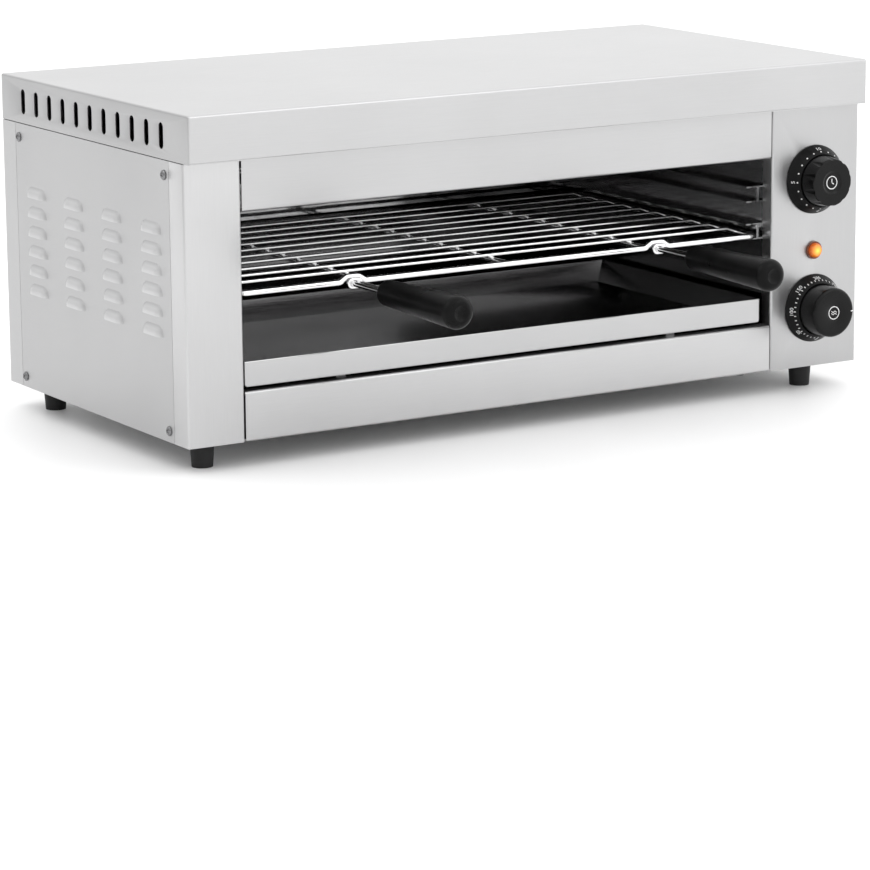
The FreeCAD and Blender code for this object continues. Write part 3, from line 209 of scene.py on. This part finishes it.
def shadeBeyond(material, axis, start, end, share):
    # past a place along one axis the tint is multiplied by the share, which sets in between start and end:
    # painted shade where the share is under one, a painted highlight where it is over
    tree = material.node_tree
    shader = tree.nodes["Principled BSDF"]
    tint = shader.inputs["Base Color"].links[0].from_socket
    coords = tree.nodes.new("ShaderNodeTexCoord")
    parts = tree.nodes.new("ShaderNodeSeparateXYZ")
    tree.links.new(coords.outputs["Object"], parts.inputs[0])
    beyond = rangeOf(tree, parts.outputs[axis], 0.0, 1.0, start, end)
    paintedShading = tree.nodes.new("ShaderNodeMix")
    paintedShading.data_type = "RGBA"
    paintedShading.blend_type = "MULTIPLY"
    paintedShading.inputs[7].default_value = (share, share, share, 1)
    tree.links.new(beyond, paintedShading.inputs[0])
    tree.links.new(tint, paintedShading.inputs[6])
    tree.links.new(paintedShading.outputs[2], shader.inputs["Base Color"])


# places of the painted shade and painted highlight in metres, those of the tray, rails, skirts, louvers and
# top from their own outer face
paintedShadingKit = {"tray": (1.2 * mm, 2.2 * mm, 0.36), "rail": (0.3 * mm, 0.9 * mm, 0.45),
            "skirt": (0.8 * mm, 0.3 * mm, 0.82), "top": (1.1 * mm, 0.3 * mm, 0.90),
            "backRight": (0.02, 0.10, 0.35), "backLow": (0.175, 0.145, 0.50),
            "louver": (2.4 * mm, 1.2 * mm), "louverShares": {"left": 1.26, "right": 1.08}}


def paintShadingOnSheets(kit):
    # the tray and the rails are painted darker behind their front edges, and the back of the chamber at its
    # right and below, as painted shade; the cover's top and side skirts are painted darker than its front as
    # painted shade, and the louvers lighter than the panel around them as a painted highlight
    trayFront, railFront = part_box("drip_tray")[0].y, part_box("rail_left_upper")[0].y
    # painted shade inside the tray and on the rails behind their front edges, where the chamber is in shade
    shadeBeyond(traySteel, "Y", trayFront + kit["tray"][0], trayFront + kit["tray"][1], kit["tray"][2])
    shadeBeyond(railSteel, "Y", railFront + kit["rail"][0], railFront + kit["rail"][1], kit["rail"][2])
    # painted shade on the back of the chamber at its right and below
    shadeBeyond(chamberBackSteel, "X", *kit["backRight"])
    shadeBeyond(chamberBackSteel, "Z", *kit["backLow"])
    for side, edge, inward in (("left", 0, 1), ("right", 1, -1)):
        skirt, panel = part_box("top_cover")[edge].x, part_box("side_panel_" + side)[edge].x
        # painted shade on the cover's side skirts
        shadeBeyond(coverSteel, "X", skirt + inward * kit["skirt"][0], skirt + inward * kit["skirt"][1],
                    kit["skirt"][2])
        # painted highlight on the louvers of each side panel
        shadeBeyond(sideSteels[side], "X", panel + inward * kit["louver"][0],
                    panel + inward * kit["louver"][1], kit["louverShares"][side])
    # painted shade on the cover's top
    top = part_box("top_cover")[1].z
    shadeBeyond(coverSteel, "Z", top - kit["top"][0], top - kit["top"][1], kit["top"][2])


paintShadingOnSheets(paintedShadingKit)


def platedWire(name, light, rough):
    # bright plating with a faint rough surface and a slow change of tint and polish
    material, tree, shader = newMaterial(name)
    shader.inputs["Metallic"].default_value = 1.0
    cloud = noiseOn(tree, objectCoords(tree, (1, 1, 1)), 90.0, 3.0)
    tree.links.new(tintOf(tree, cloud, tuple(0.82 * c for c in light), light), shader.inputs["Base Color"])
    tree.links.new(rangeOf(tree, cloud, rough[0], rough[1]), shader.inputs["Roughness"])
    tree.links.new(bumpOf(tree, cloud, 0.05, 0.0002), shader.inputs["Normal"])
    return material


chromeWire = platedWire("chromeWire", (0.92, 0.92, 0.925), (0.06, 0.16))
screwPlate = platedWire("screwPlate", (0.24, 0.24, 0.245), (0.08, 0.16))


def mouldedBlack(name, shade, gloss, rough, grain, height):
    # fine moulded grain, slightly greyer in broad patches
    material, tree, shader = newMaterial(name)
    shader.inputs["Specular IOR Level"].default_value = gloss
    fine = noiseOn(tree, objectCoords(tree, (1, 1, 1)), grain, 3.0)
    broad = noiseOn(tree, objectCoords(tree, (1, 1, 1)), 45.0, 2.0)
    tree.links.new(tintOf(tree, rangeOf(tree, broad, 0.0, 1.0), (shade, shade, shade),
                          (1.7 * shade, 1.7 * shade, 1.75 * shade)), shader.inputs["Base Color"])
    tree.links.new(rangeOf(tree, broad, rough[0], rough[1]), shader.inputs["Roughness"])
    tree.links.new(bumpOf(tree, fine, height, 0.0002), shader.inputs["Normal"])
    return material


gripBlack = mouldedBlack("gripBlack", 0.0035, 0.09, (0.26, 0.36), 1400.0, 0.15)
knobBlack = mouldedBlack("knobBlack", 0.0028, 0.17, (0.18, 0.27), 1600.0, 0.06)
dialBlack = mouldedBlack("dialBlack", 0.0035, 0.13, (0.30, 0.42), 1800.0, 0.08)
footRubber = mouldedBlack("footRubber", 0.010, 0.25, (0.5, 0.65), 900.0, 0.3)
housingBlack = mouldedBlack("housingBlack", 0.05, 0.4, (0.4, 0.55), 900.0, 0.15)
glandBlack = mouldedBlack("glandBlack", 0.015, 0.3, (0.4, 0.5), 1200.0, 0.1)


def plainFinish(name, dark, light, rough, metal, scale):
    # one tint that clouds shift a little, with the same clouds in its polish and its surface
    material, tree, shader = newMaterial(name)
    shader.inputs["Metallic"].default_value = metal
    cloud = noiseOn(tree, objectCoords(tree, (1, 1, 1)), scale, 3.0)
    tree.links.new(tintOf(tree, rangeOf(tree, cloud, 0.0, 1.0), dark, light), shader.inputs["Base Color"])
    tree.links.new(rangeOf(tree, cloud, rough[0], rough[1]), shader.inputs["Roughness"])
    tree.links.new(bumpOf(tree, cloud, 0.08, 0.0003), shader.inputs["Normal"])
    return material


sheathSteel = plainFinish("sheathSteel", (0.05, 0.048, 0.046), (0.12, 0.11, 0.10), (0.4, 0.6), 0.9, 160.0)
paleCeramic = plainFinish("paleCeramic", (0.62, 0.60, 0.55), (0.75, 0.73, 0.68), (0.5, 0.7), 0.0, 300.0)
dullTube = plainFinish("dullTube", (0.22, 0.20, 0.19), (0.36, 0.33, 0.31), (0.3, 0.45), 1.0, 250.0)
studBrass = plainFinish("studBrass", (0.62, 0.46, 0.2), (0.76, 0.6, 0.3), (0.25, 0.4), 1.0, 250.0)
lampRim = plainFinish("lampRim", (0.10, 0.022, 0.006), (0.20, 0.05, 0.012), (0.25, 0.38), 0.0, 400.0)
markWhite = plainFinish("markWhite", (0.62, 0.62, 0.62), (0.76, 0.76, 0.76), (0.5, 0.65), 0.0, 900.0)


def litAmber(name, reachOfGlow, rimTint, middleTint):
    # a lit amber lens: the glow is strongest at its middle and fades to the rim's tint
    material, tree, shader = newMaterial(name)
    coords = tree.nodes.new("ShaderNodeTexCoord")
    mapping = tree.nodes.new("ShaderNodeMapping")
    low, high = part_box("pilot_lens")
    centre = (low + high) / 2
    mapping.inputs["Location"].default_value = (-centre.x / reachOfGlow, 0, -centre.z / reachOfGlow)
    mapping.inputs["Scale"].default_value = (1 / reachOfGlow, 0, 1 / reachOfGlow)
    tree.links.new(coords.outputs["Object"], mapping.inputs["Vector"])
    reach = tree.nodes.new("ShaderNodeVectorMath")
    reach.operation = "LENGTH"
    tree.links.new(mapping.outputs[0], reach.inputs[0])
    glow = rangeOf(tree, reach.outputs["Value"], 1.0, 0.0, 0.05, 0.95)
    colour = tintOf(tree, glow, rimTint, middleTint)
    facets = noiseOn(tree, objectCoords(tree, (1, 1, 1)), 700.0, 2.0)
    tree.links.new(colour, shader.inputs["Base Color"])
    tree.links.new(colour, shader.inputs["Emission Color"])
    tree.links.new(rangeOf(tree, glow, 0.10, 0.75, 0.0, 1.0), shader.inputs["Emission Strength"])
    tree.links.new(rangeOf(tree, facets, 0.08, 0.2), shader.inputs["Roughness"])
    tree.links.new(bumpOf(tree, facets, 0.2, 0.0003), shader.inputs["Normal"])
    return material


amberLens = litAmber("amberLens", 6.5 * mm, (0.50, 0.07, 0.004), (1.0, 0.50, 0.07))


def dress(material, *names):
    # every face of these CAD nodes takes the one material
    for name in names:
        data = nodes[name].data
        data.materials.clear()
        data.materials.append(material)
        data.polygons.foreach_set("material_index", np.zeros(len(data.polygons), np.int32))


dress(coverSteel, "top_cover")
dress(frontSteel, "top_fascia", "bottom_rail")
dress(postSteel, "left_post")
dress(panelSteel, "control_panel")
dress(sideSteels["left"], "side_panel_left")
dress(sideSteels["right"], "side_panel_right")
dress(backSteel, "back_panel", "base_plate")
dress(chamberSteel, "chamber_wall_left", "chamber_wall_right", "chamber_floor", "element_brackets",
      "bulb_clips")
dress(chamberBackSteel, "chamber_back", "reflector")
dress(railSteel, "timer_shaft", "thermostat_shaft",
      *["rail_%s_%s" % (side, level) for side in ("left", "right") for level in ("upper", "middle", "lower")])
dress(traySteel, "drip_tray")
dress(chromeWire, "rack_frame", "rack_wires", "rack_cross_wires", "handle_stem_left", "handle_stem_right")
dress(screwPlate, "side_screws_left", "side_screws_right", "base_screws", "back_screws", "foot_screws")
dress(gripBlack, "grip_left", "grip_right")
dress(knobBlack, "timer_knob", "thermostat_knob")
dress(dialBlack, "timer_dial", "thermostat_dial")
dress(footRubber, "foot_front_left", "foot_front_right", "foot_back_left", "foot_back_right")
dress(housingBlack, "timer_body", "thermostat_body")
dress(glandBlack, "cable_gland", "gland_nut")
dress(sheathSteel, "element_front", "element_rear")
dress(paleCeramic, "element_bushes", "terminal_block")
dress(dullTube, "thermostat_bulb", "capillary")
dress(studBrass, "earth_stud")
dress(lampRim, "pilot_body")
dress(amberLens, "pilot_lens")
print("toaster: CAD nodes dressed")


# sheets with rounded folds
foldKit = {"fold": 0.7 * mm, "rim": 0.35, "sharp": math.radians(35), "flat": math.radians(1), "skin": 4e-4,
           "merge": 0.01 * mm, "segments": 3}


def roundFolds(node, piece, material, body="cabinet", share=1.0):
    # the node's sheet, its points merged and its flat faces joined; a convex edge between two faces larger
    # than the skin area is a fold and rounded fully, and every other sharp edge by the rim's share of it
    shape = bmesh.new()
    shape.from_mesh(nodes[node].data)
    bmesh.ops.remove_doubles(shape, verts=shape.verts, dist=foldKit["merge"])
    bmesh.ops.recalc_face_normals(shape, faces=shape.faces)
    bmesh.ops.dissolve_limit(shape, angle_limit=foldKit["flat"], verts=shape.verts, edges=shape.edges)
    weight = shape.edges.layers.float.new("bevel_weight_edge")
    for edge in shape.edges:
        if len(edge.link_faces) != 2 or edge.calc_face_angle() < foldKit["sharp"]:
            continue
        outer = edge.is_convex and min(face.calc_area() for face in edge.link_faces) > foldKit["skin"]
        edge[weight] = 1.0 if outer else foldKit["rim"]
    for face in shape.faces:
        face.smooth = True
    data = bpy.data.meshes.new(piece)
    shape.to_mesh(data)
    shape.free()
    data.materials.append(material)
    sheet = bpy.data.objects.new(piece, data)
    scene.collection.objects.link(sheet)
    bevel = sheet.modifiers.new("folds", "BEVEL")
    bevel.limit_method = "WEIGHT"
    bevel.width = share * foldKit["fold"]
    bevel.segments = foldKit["segments"]
    bevel.harden_normals = True
    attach(sheet, body)
    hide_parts(node)


roundFolds("top_cover", "coverSheet", coverSteel)
roundFolds("left_post", "postSheet", postSteel)
roundFolds("control_panel", "panelSheet", panelSteel)
roundFolds("top_fascia", "fasciaSheet", frontSteel)
roundFolds("bottom_rail", "railSheet", frontSteel)
roundFolds("drip_tray", "traySheet", traySteel, "tray", 0.7)
print("toaster: sheets rounded")


# makers of small pieces
def gridFaces(rows, columns, closedRows, closedColumns):
    # quads between neighbours of a grid of points, wrapped round where the surface closes
    row, column = np.meshgrid(np.arange(rows if closedRows else rows - 1),
                              np.arange(columns if closedColumns else columns - 1), indexing="ij")
    nextRow, nextColumn = (row + 1) % rows, (column + 1) % columns
    return np.stack([row * columns + column, row * columns + nextColumn,
                     nextRow * columns + nextColumn, nextRow * columns + column], -1).reshape(-1, 4).tolist()


def joined(shapes):
    # several shapes of points and faces in one: each shape's face numbers go up by the points before it
    points, faces, start = [], [], 0
    for spots, sides in shapes:
        points.append(spots)
        faces += [[start + corner for corner in side] for side in sides]
        start += len(spots)
    return np.concatenate(points), faces


def addPiece(name, shape, material, body, smooth=True):
    # a mesh of the shape with its faces turned outward, riding on the body
    points, faces = shape
    data = bpy.data.meshes.new(name)
    data.from_pydata(points.tolist(), [], faces)
    work = bmesh.new()
    work.from_mesh(data)
    bmesh.ops.recalc_face_normals(work, faces=work.faces)
    work.to_mesh(data)
    work.free()
    data.polygons.foreach_set("use_smooth", np.full(len(data.polygons), smooth))
    data.materials.append(material)
    piece = bpy.data.objects.new(name, data)
    scene.collection.objects.link(piece)
    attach(piece, body)
    return piece


def platePrism(outline, thickness):
    # a flat plate: the outline at level 0 and again one thickness up, with sides between; its points are
    # (u, v, level)
    count = len(outline)
    low = np.c_[outline, np.zeros(count)]
    high = np.c_[outline, np.full(count, thickness)]
    ring = np.arange(count)
    after = (ring + 1) % count
    sides = np.stack([ring, after, after + count, ring + count], -1).tolist()
    return np.concatenate([low, high]), sides + [ring[::-1].tolist(), (ring + count).tolist()]


def barOutline(width, low, high, steps=1):
    # a bar along v from low to high, with more corners along it where it has to bend
    climb = np.linspace(low, high, steps + 1)
    return np.concatenate([np.c_[np.full(steps + 1, width / 2), climb],
                           np.c_[np.full(steps + 1, -width / 2), climb[::-1]]])


def discOutline(radius, count=14):
    # corners evenly spaced round a circle
    turn = np.linspace(0, 2 * np.pi, count, endpoint=False)
    return np.c_[radius * np.cos(turn), radius * np.sin(turn)]


def wordPlate(words, height, advance, thickness, gap=0.12):
    # the words as a mesh, stretched to one advance for each digit less the last one's gap, to the height
    # and to the thickness; centred on u, with v from 0
    curve = bpy.data.curves.new("words", "FONT")
    curve.body = words
    curve.size = 1.0
    curve.extrude = 0.5
    curve.resolution_u = 3
    holder = bpy.data.objects.new("words", curve)
    scene.collection.objects.link(holder)
    bpy.context.view_layer.update()
    data = bpy.data.meshes.new_from_object(holder.evaluated_get(bpy.context.evaluated_depsgraph_get()))
    points = np.empty(3 * len(data.vertices))
    data.vertices.foreach_get("co", points)
    points = points.reshape(-1, 3)
    faces = [list(face.vertices) for face in data.polygons]
    bpy.data.objects.remove(holder)
    bpy.data.meshes.remove(data)
    low, high = points.min(0), points.max(0)
    span = advance * (len(words) - gap)
    points = (points - [(low[0] + high[0]) / 2, low[1], low[2]]) / (high - low) * [span, height, thickness]
    return points, faces


# scales on the dial rings
dialKit = {"shoulderRadius": 23.3 * mm, "shoulderDepth": 7.7 * mm, "edgeRadius": 27.5 * mm,
           "edgeDepth": 1 * mm, "lipRadius": 21.4 * mm, "lipDepth": 10 * mm, "sunk": 0.05 * mm,
           "thickness": 0.13 * mm, "digitFoot": 1.55 * mm, "digitHeight": 3.1 * mm, "digitAdvance": 2.0 * mm}


def onDial(shape, dial, turn):
    # (u, v, level) to the ring: v climbs outward from the shoulder, u runs round clockwise from the turn
    kit = dialKit
    points, faces = shape
    around, climb, level = points.T
    level = level - kit["sunk"]
    low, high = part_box(dial)
    outR, outD = kit["edgeRadius"] - kit["shoulderRadius"], kit["shoulderDepth"] - kit["edgeDepth"]
    inR, inD = kit["shoulderRadius"] - kit["lipRadius"], kit["lipDepth"] - kit["shoulderDepth"]
    outLength, inLength = math.hypot(outR, outD), math.hypot(inR, inD)
    slopeR = np.where(climb > 0, outR / outLength, inR / inLength)
    slopeD = np.where(climb > 0, outD / outLength, inD / inLength)
    radius = kit["shoulderRadius"] + climb * slopeR + level * slopeD
    depth = kit["shoulderDepth"] - climb * slopeD + level * slopeR
    angle = turn - around / kit["shoulderRadius"]
    return np.c_[(low.x + high.x) / 2 + radius * np.cos(angle), high.y - depth,
                 (low.z + high.z) / 2 + radius * np.sin(angle)], faces


def clockwise(degrees):
    # an angle counted clockwise from the bottom of the dial, as seen from the front
    return math.radians(-90 - degrees)


def dialScale(piece, dial, marks, outline, numbers):
    # one mark at each of the angles, and each number outside its mark with its feet toward the knob
    thickness = dialKit["thickness"]
    shapes = [onDial(platePrism(outline, thickness), dial, clockwise(angle)) for angle in marks]
    for words, angle in numbers:
        points, faces = wordPlate(words, dialKit["digitHeight"], dialKit["digitAdvance"], thickness)
        points[:, 1] += dialKit["digitFoot"]
        shapes.append(onDial((points, faces), dial, clockwise(angle)))
    addPiece(piece, joined(shapes), markWhite, "cabinet", smooth=False)


timerScale = {"marks": range(0, 271, 18), "dot": 0.62 * mm, "dotPlace": -0.55 * mm,
              "numbers": (("0", 0), ("5", 90), ("10", 180), ("15", 270))}
thermostatScale = {"marks": range(0, 271, 9), "width": 0.72 * mm, "foot": -0.6 * mm, "top": 0.95 * mm,
                   "numbers": (("0", 0), ("50", 45), ("100", 90), ("150", 135), ("200", 180), ("250", 225),
                               ("300", 270))}
dialScale("timerScale", "timer_dial", timerScale["marks"],
          discOutline(timerScale["dot"]) + [0, timerScale["dotPlace"]], timerScale["numbers"])
dialScale("thermostatScale", "thermostat_dial", thermostatScale["marks"],
          barOutline(thermostatScale["width"], thermostatScale["foot"], thermostatScale["top"], 2),
          thermostatScale["numbers"])
print("toaster: dial scales placed")


# marks on the knobs
def onKnob(shape, knob, depth, turn=0.0):
    # (u, v, level) to the knob's face, turned round its axis and as deep below the face as given
    points, faces = shape
    low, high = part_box(knob)
    side, climb, level = points.T
    return np.c_[(low.x + high.x) / 2 + side * math.cos(turn) + climb * math.sin(turn),
                 low.y + depth - level,
                 (low.z + high.z) / 2 + climb * math.cos(turn) - side * math.sin(turn)], faces


def ringPlate(inner, outer, thickness, count=56):
    # a flat ring: a rectangle's four corners swept round the axis
    turn = np.linspace(0, 2 * np.pi, count, endpoint=False)[:, None]
    radius, level = np.array([inner, outer, outer, inner]), np.array([0, 0, thickness, thickness])
    points = np.stack([radius * np.cos(turn), radius * np.sin(turn), level + 0 * turn], -1)
    return points.reshape(-1, 3), gridFaces(count, 4, True, True)


def wavePlate(length, height, width, waves, thickness, count=25):
    # a wavy band along u: its middle line is a sine, its two rims lie half a width above and below
    along = np.linspace(-length / 2, length / 2, count)
    swing = height * np.sin(2 * np.pi * waves * along / length)
    rims = [np.c_[along, swing - width / 2], np.c_[along, swing + width / 2][::-1]]
    return platePrism(np.concatenate(rims), thickness)


knobKit = {"thickness": 0.12 * mm, "sunk": 0.04 * mm, "timerDish": 0.8 * mm, "thermoDish": 0.6 * mm,
           "ring": (4.65 * mm, 5.35 * mm), "hand": 0.75 * mm, "handFoot": -0.3 * mm, "longHand": 3.1 * mm,
           "shortHand": 2.3 * mm, "shortTurn": math.radians(125), "waves": 1.5, "waveLength": 5.2 * mm,
           "waveHeight": 0.5 * mm, "waveWidth": 0.6 * mm, "waveStep": 1.75 * mm, "pointer": 0.9 * mm,
           "pointerTurn": math.radians(90), "rimFoot": 16.4 * mm, "rimFlat": 16.9 * mm, "rimRound": 3 * mm,
           "rimSteps": 14}


def timerMarks(kit):
    # a ring round two clock hands, in the dish
    plate = kit["thickness"]
    dish = kit["timerDish"] + kit["sunk"]
    longHand = platePrism(barOutline(kit["hand"], kit["handFoot"], kit["longHand"]), plate)
    shortHand = platePrism(barOutline(kit["hand"], kit["handFoot"], kit["shortHand"]), plate)
    shapes = [onKnob(ringPlate(*kit["ring"], plate), "timer_knob", dish),
              onKnob(longHand, "timer_knob", dish),
              onKnob(shortHand, "timer_knob", dish, kit["shortTurn"])]
    addPiece("timerKnobMarks", joined(shapes), markWhite, "timer_knob_body", smooth=False)


def overRim(kit):
    # a pointer that follows the face outward, then the quarter round of the rim; its points are
    # (u, v, level), with v outward
    arc = kit["rimRound"] * math.pi / 2
    run = np.linspace(kit["rimFoot"] - kit["rimFlat"], arc, kit["rimSteps"] + 1)
    bend = np.clip(run, 0, None) / kit["rimRound"]
    rows = []
    for side in (-0.5, 0.5):
        for raised in (-kit["sunk"], kit["thickness"]):
            radius = kit["rimFlat"] + np.minimum(run, 0) + (kit["rimRound"] + raised) * np.sin(bend)
            level = (kit["rimRound"] + raised) * np.cos(bend) - kit["rimRound"]
            rows.append(np.c_[np.full(len(run), side * kit["pointer"]), radius, level])
    points = np.stack([rows[0], rows[1], rows[3], rows[2]], 1).reshape(-1, 3)
    last = 4 * kit["rimSteps"]
    ends = [[0, 1, 2, 3], [last, last + 1, last + 2, last + 3]]
    return points, gridFaces(kit["rimSteps"] + 1, 4, False, True) + ends


def thermostatMarks(kit):
    # a ring round two heat waves in the dish, and a pointer over the rim at three o'clock
    plate = kit["thickness"]
    dish = kit["thermoDish"] + kit["sunk"]
    shapes = [onKnob(ringPlate(*kit["ring"], plate), "thermostat_knob", dish)]
    for step in (-0.5, 0.5):
        points, faces = wavePlate(kit["waveLength"], kit["waveHeight"], kit["waveWidth"], kit["waves"], plate)
        points[:, 1] += step * kit["waveStep"]
        shapes.append(onKnob((points, faces), "thermostat_knob", dish))
    shapes.append(onKnob(overRim(kit), "thermostat_knob", 0.0, kit["pointerTurn"]))
    addPiece("thermostatKnobMarks", joined(shapes), markWhite, "thermostat_knob_body",
             smooth=False)


timerMarks(knobKit)
thermostatMarks(knobKit)
print("toaster: knobs marked")


# the turned knob
turnKit = {"face": 19.9 * mm, "round": 3 * mm, "dishRim": 6.63 * mm, "dishFloor": 5.43 * mm,
           "dishDepth": 0.6 * mm, "skirtDepth": 18.6 * mm, "edge": 0.3 * mm, "rimBack": 0.6, "rimDepth": 0.5,
           "hub": 0.02 * mm, "sharp": math.radians(28), "sides": 120, "bendPoints": 11, "edgePoints": 4,
           "floorPoints": 6}


def turnedKnob(kit, node, piece):
    # a profile swept round the knob's axis: dish floor and wall, face, quarter round, leaning skirt, back
    low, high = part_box(node)
    back, wide = high.y - low.y, (high.x - low.x) / 2
    bend = np.linspace(0, np.pi / 2, kit["bendPoints"])
    soft = np.linspace(0, np.pi / 2, kit["edgePoints"])
    dishFloor = np.linspace(kit["hub"], kit["dishFloor"], kit["floorPoints"])
    profile = np.concatenate([
        np.c_[dishFloor, np.full(kit["floorPoints"], kit["dishDepth"])],
        np.c_[kit["dishRim"] + kit["edge"] * (np.sin(soft) - kit["rimBack"]),
              kit["edge"] * (1 - np.sin(soft)) * kit["rimDepth"]],
        np.c_[kit["face"] - kit["round"] * (1 - np.sin(bend)), kit["round"] * (1 - np.cos(bend))],
        [[wide, kit["skirtDepth"]]],
        np.c_[wide - kit["edge"] * (1 - np.cos(soft)), back - kit["edge"] * (1 - np.sin(soft))],
        [[kit["hub"], back]]])
    turn = np.linspace(0, 2 * np.pi, kit["sides"], endpoint=False)
    radius, depth = profile[:, :1], profile[:, 1:]
    points = np.stack([(low.x + high.x) / 2 + radius * np.cos(turn), low.y + depth + 0 * turn,
                       (low.z + high.z) / 2 + radius * np.sin(turn)], -1).reshape(-1, 3)
    ring = np.arange(kit["sides"])
    faces = gridFaces(len(profile), kit["sides"], False, True)
    faces += [ring.tolist(), ((len(profile) - 1) * kit["sides"] + ring[::-1]).tolist()]
    knob = addPiece(piece, (points, faces), knobBlack, "thermostat_knob_body")
    knob.data.set_sharp_from_angle(angle=kit["sharp"])
    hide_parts(node)


turnedKnob(turnKit, "thermostat_knob", "thermostatKnobTurned")
print("toaster: thermostat knob turned")


# welds of the rack
weldKit = {"first": 1.5 * mm, "pitch": 24.9 * mm, "count": 10, "spread": 128.5 * mm, "taper": 1.3,
           "swing": 0.12, "rowSwing": 2.3, "columnSwing": 1.7, "long": 2.6 * mm, "wide": 2.1 * mm,
           "tall": 1.15 * mm, "rings": 9, "sides": 14}


def weldBead(kit, swell):
    # a low bead: an ellipsoid that narrows toward its ends along the thin wire
    polar = np.linspace(0, np.pi, kit["rings"])[:, None]
    turn = np.linspace(0, 2 * np.pi, kit["sides"], endpoint=False)
    size = np.array([kit["long"], kit["wide"], kit["tall"]]) * swell
    girth = np.sin(polar) ** kit["taper"]
    points = np.stack([size[0] * np.cos(polar) + 0 * turn, size[1] * girth * np.cos(turn),
                       size[2] * girth * np.sin(turn)], -1)
    inner = points[1:-1].reshape(-1, 3)
    ends = np.array([points[0, 0], points[-1, 0]])
    faces = gridFaces(kit["rings"] - 2, kit["sides"], False, True)
    first, last, sides = len(inner), len(inner) + 1, kit["sides"]
    ring = np.arange(sides)
    lastRing = (kit["rings"] - 3) * sides
    faces += np.stack([np.full(sides, first), ring, (ring + 1) % sides], -1).tolist()
    faces += np.stack([np.full(sides, last), lastRing + (ring + 1) % sides, lastRing + ring], -1).tolist()
    return np.concatenate([inner, ends]), faces


def rackWelds(kit):
    # one bead where each thin wire crosses each cross wire, their sizes varied a little by a slow sine
    wires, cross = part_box("rack_wires"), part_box("rack_cross_wires")
    middle = (cross[0].x + cross[1].x) / 2
    shapes = []
    for row in range(kit["count"]):
        for column in (-1, 0, 1):
            wave = math.sin(kit["rowSwing"] * row + kit["columnSwing"] * column)
            points, faces = weldBead(kit, 1 + kit["swing"] * wave)
            along = wires[0].y + kit["first"] + row * kit["pitch"]
            shapes.append((points + (middle + column * kit["spread"], along, cross[1].z), faces))
    addPiece("rackWelds", joined(shapes), chromeWire, "rack")


rackWelds(weldKit)
print("toaster: rack welds placed")


# screws in the side panels
screwKit = {"radius": 3.75 * mm, "crown": 2.2 * mm, "skirt": 0.7 * mm, "slotHalf": 0.55 * mm,
            "slotReach": 2.3 * mm, "slotDepth": 1.1 * mm, "slotWall": 0.3 * mm, "slotEnd": 0.4 * mm,
            "crownPower": 2.6, "firstTurn": 0.5, "nextTurn": 1.1, "rings": 26, "sides": 72, "inset": 0.2 * mm}


def panHead(kit):
    # height over the disc: a crown that falls as a power of the radius, less a cross-shaped recess with
    # soft walls
    share = np.linspace(1 / kit["rings"], 1, kit["rings"])[:, None]
    turn = np.linspace(0, 2 * np.pi, kit["sides"], endpoint=False)
    radius = kit["radius"] * share
    across, along = radius * np.cos(turn), radius * np.sin(turn)
    nearest = np.minimum(np.abs(across), np.abs(along))
    recess = (np.clip((kit["slotHalf"] - nearest) / kit["slotWall"] + 0.5, 0, 1)
              * np.clip((kit["slotReach"] - radius) / kit["slotEnd"], 0, 1))
    crown = kit["skirt"] + (kit["crown"] - kit["skirt"]) * (1 - share ** kit["crownPower"])
    height = crown - kit["slotDepth"] * recess
    disc = np.stack([across, along, height], -1).reshape(-1, 3)
    middle = [[0, 0, kit["crown"] - kit["slotDepth"]]]
    foot = np.c_[kit["radius"] * np.cos(turn), kit["radius"] * np.sin(turn), np.zeros(kit["sides"])]
    sides, last, centre = kit["sides"], (kit["rings"] - 1) * kit["sides"], kit["rings"] * kit["sides"]
    ring = np.arange(sides)
    after = (ring + 1) % sides
    faces = gridFaces(kit["rings"], sides, False, True)
    faces += np.stack([np.full(sides, centre), ring, after], -1).tolist()
    faces += np.stack([last + ring, centre + 1 + ring, centre + 1 + after, last + after], -1).tolist()
    faces.append((centre + 1 + ring[::-1]).tolist())
    return np.concatenate([disc, middle, foot]), faces


def sideScrews(kit, node, piece, outward):
    # four heads at the corners of the node's box, each turned by another angle; a head's height points
    # outward
    low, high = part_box(node)
    face = (low.x if outward < 0 else high.x) - outward * (kit["crown"] + kit["inset"])
    shapes = []
    for number, (y, z) in enumerate(((low.y, low.z), (low.y, high.z), (high.y, low.z), (high.y, high.z))):
        points, faces = panHead(kit)
        turn = kit["firstTurn"] + kit["nextTurn"] * number
        across = points[:, 0] * math.cos(turn) - points[:, 1] * math.sin(turn)
        along = points[:, 0] * math.sin(turn) + points[:, 1] * math.cos(turn)
        inY = y + (kit["radius"] if y == low.y else -kit["radius"])
        inZ = z + (kit["radius"] if z == low.z else -kit["radius"])
        shapes.append((np.c_[face + outward * points[:, 2], inY + across, inZ + along], faces))
    heads = addPiece(piece, joined(shapes), screwPlate, "cabinet")
    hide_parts(node)


sideScrews(screwKit, "side_screws_left", "screwHeadsLeft", -1)
sideScrews(screwKit, "side_screws_right", "screwHeadsRight", 1)
print("toaster: side screws placed")


# floor
def layFloor():
    # one wide sheet of pale paper with faint clouds
    data = bpy.data.meshes.new("paleFloor")
    data.from_pydata([(-6, -5, 0), (6, -5, 0), (6, 9, 0), (-6, 9, 0)], [], [(0, 1, 2, 3)])
    floor = bpy.data.objects.new("paleFloor", data)
    scene.collection.objects.link(floor)
    material, tree, shader = newMaterial("palePaper")
    cloud = noiseOn(tree, objectCoords(tree, (1, 1, 1)), 3.0, 2.0)
    tree.links.new(tintOf(tree, rangeOf(tree, cloud, 0.0, 1.0), (0.89, 0.89, 0.89), (0.92, 0.92, 0.92)),
                   shader.inputs["Base Color"])
    shader.inputs["Roughness"].default_value = 0.5
    data.materials.append(material)


layFloor()
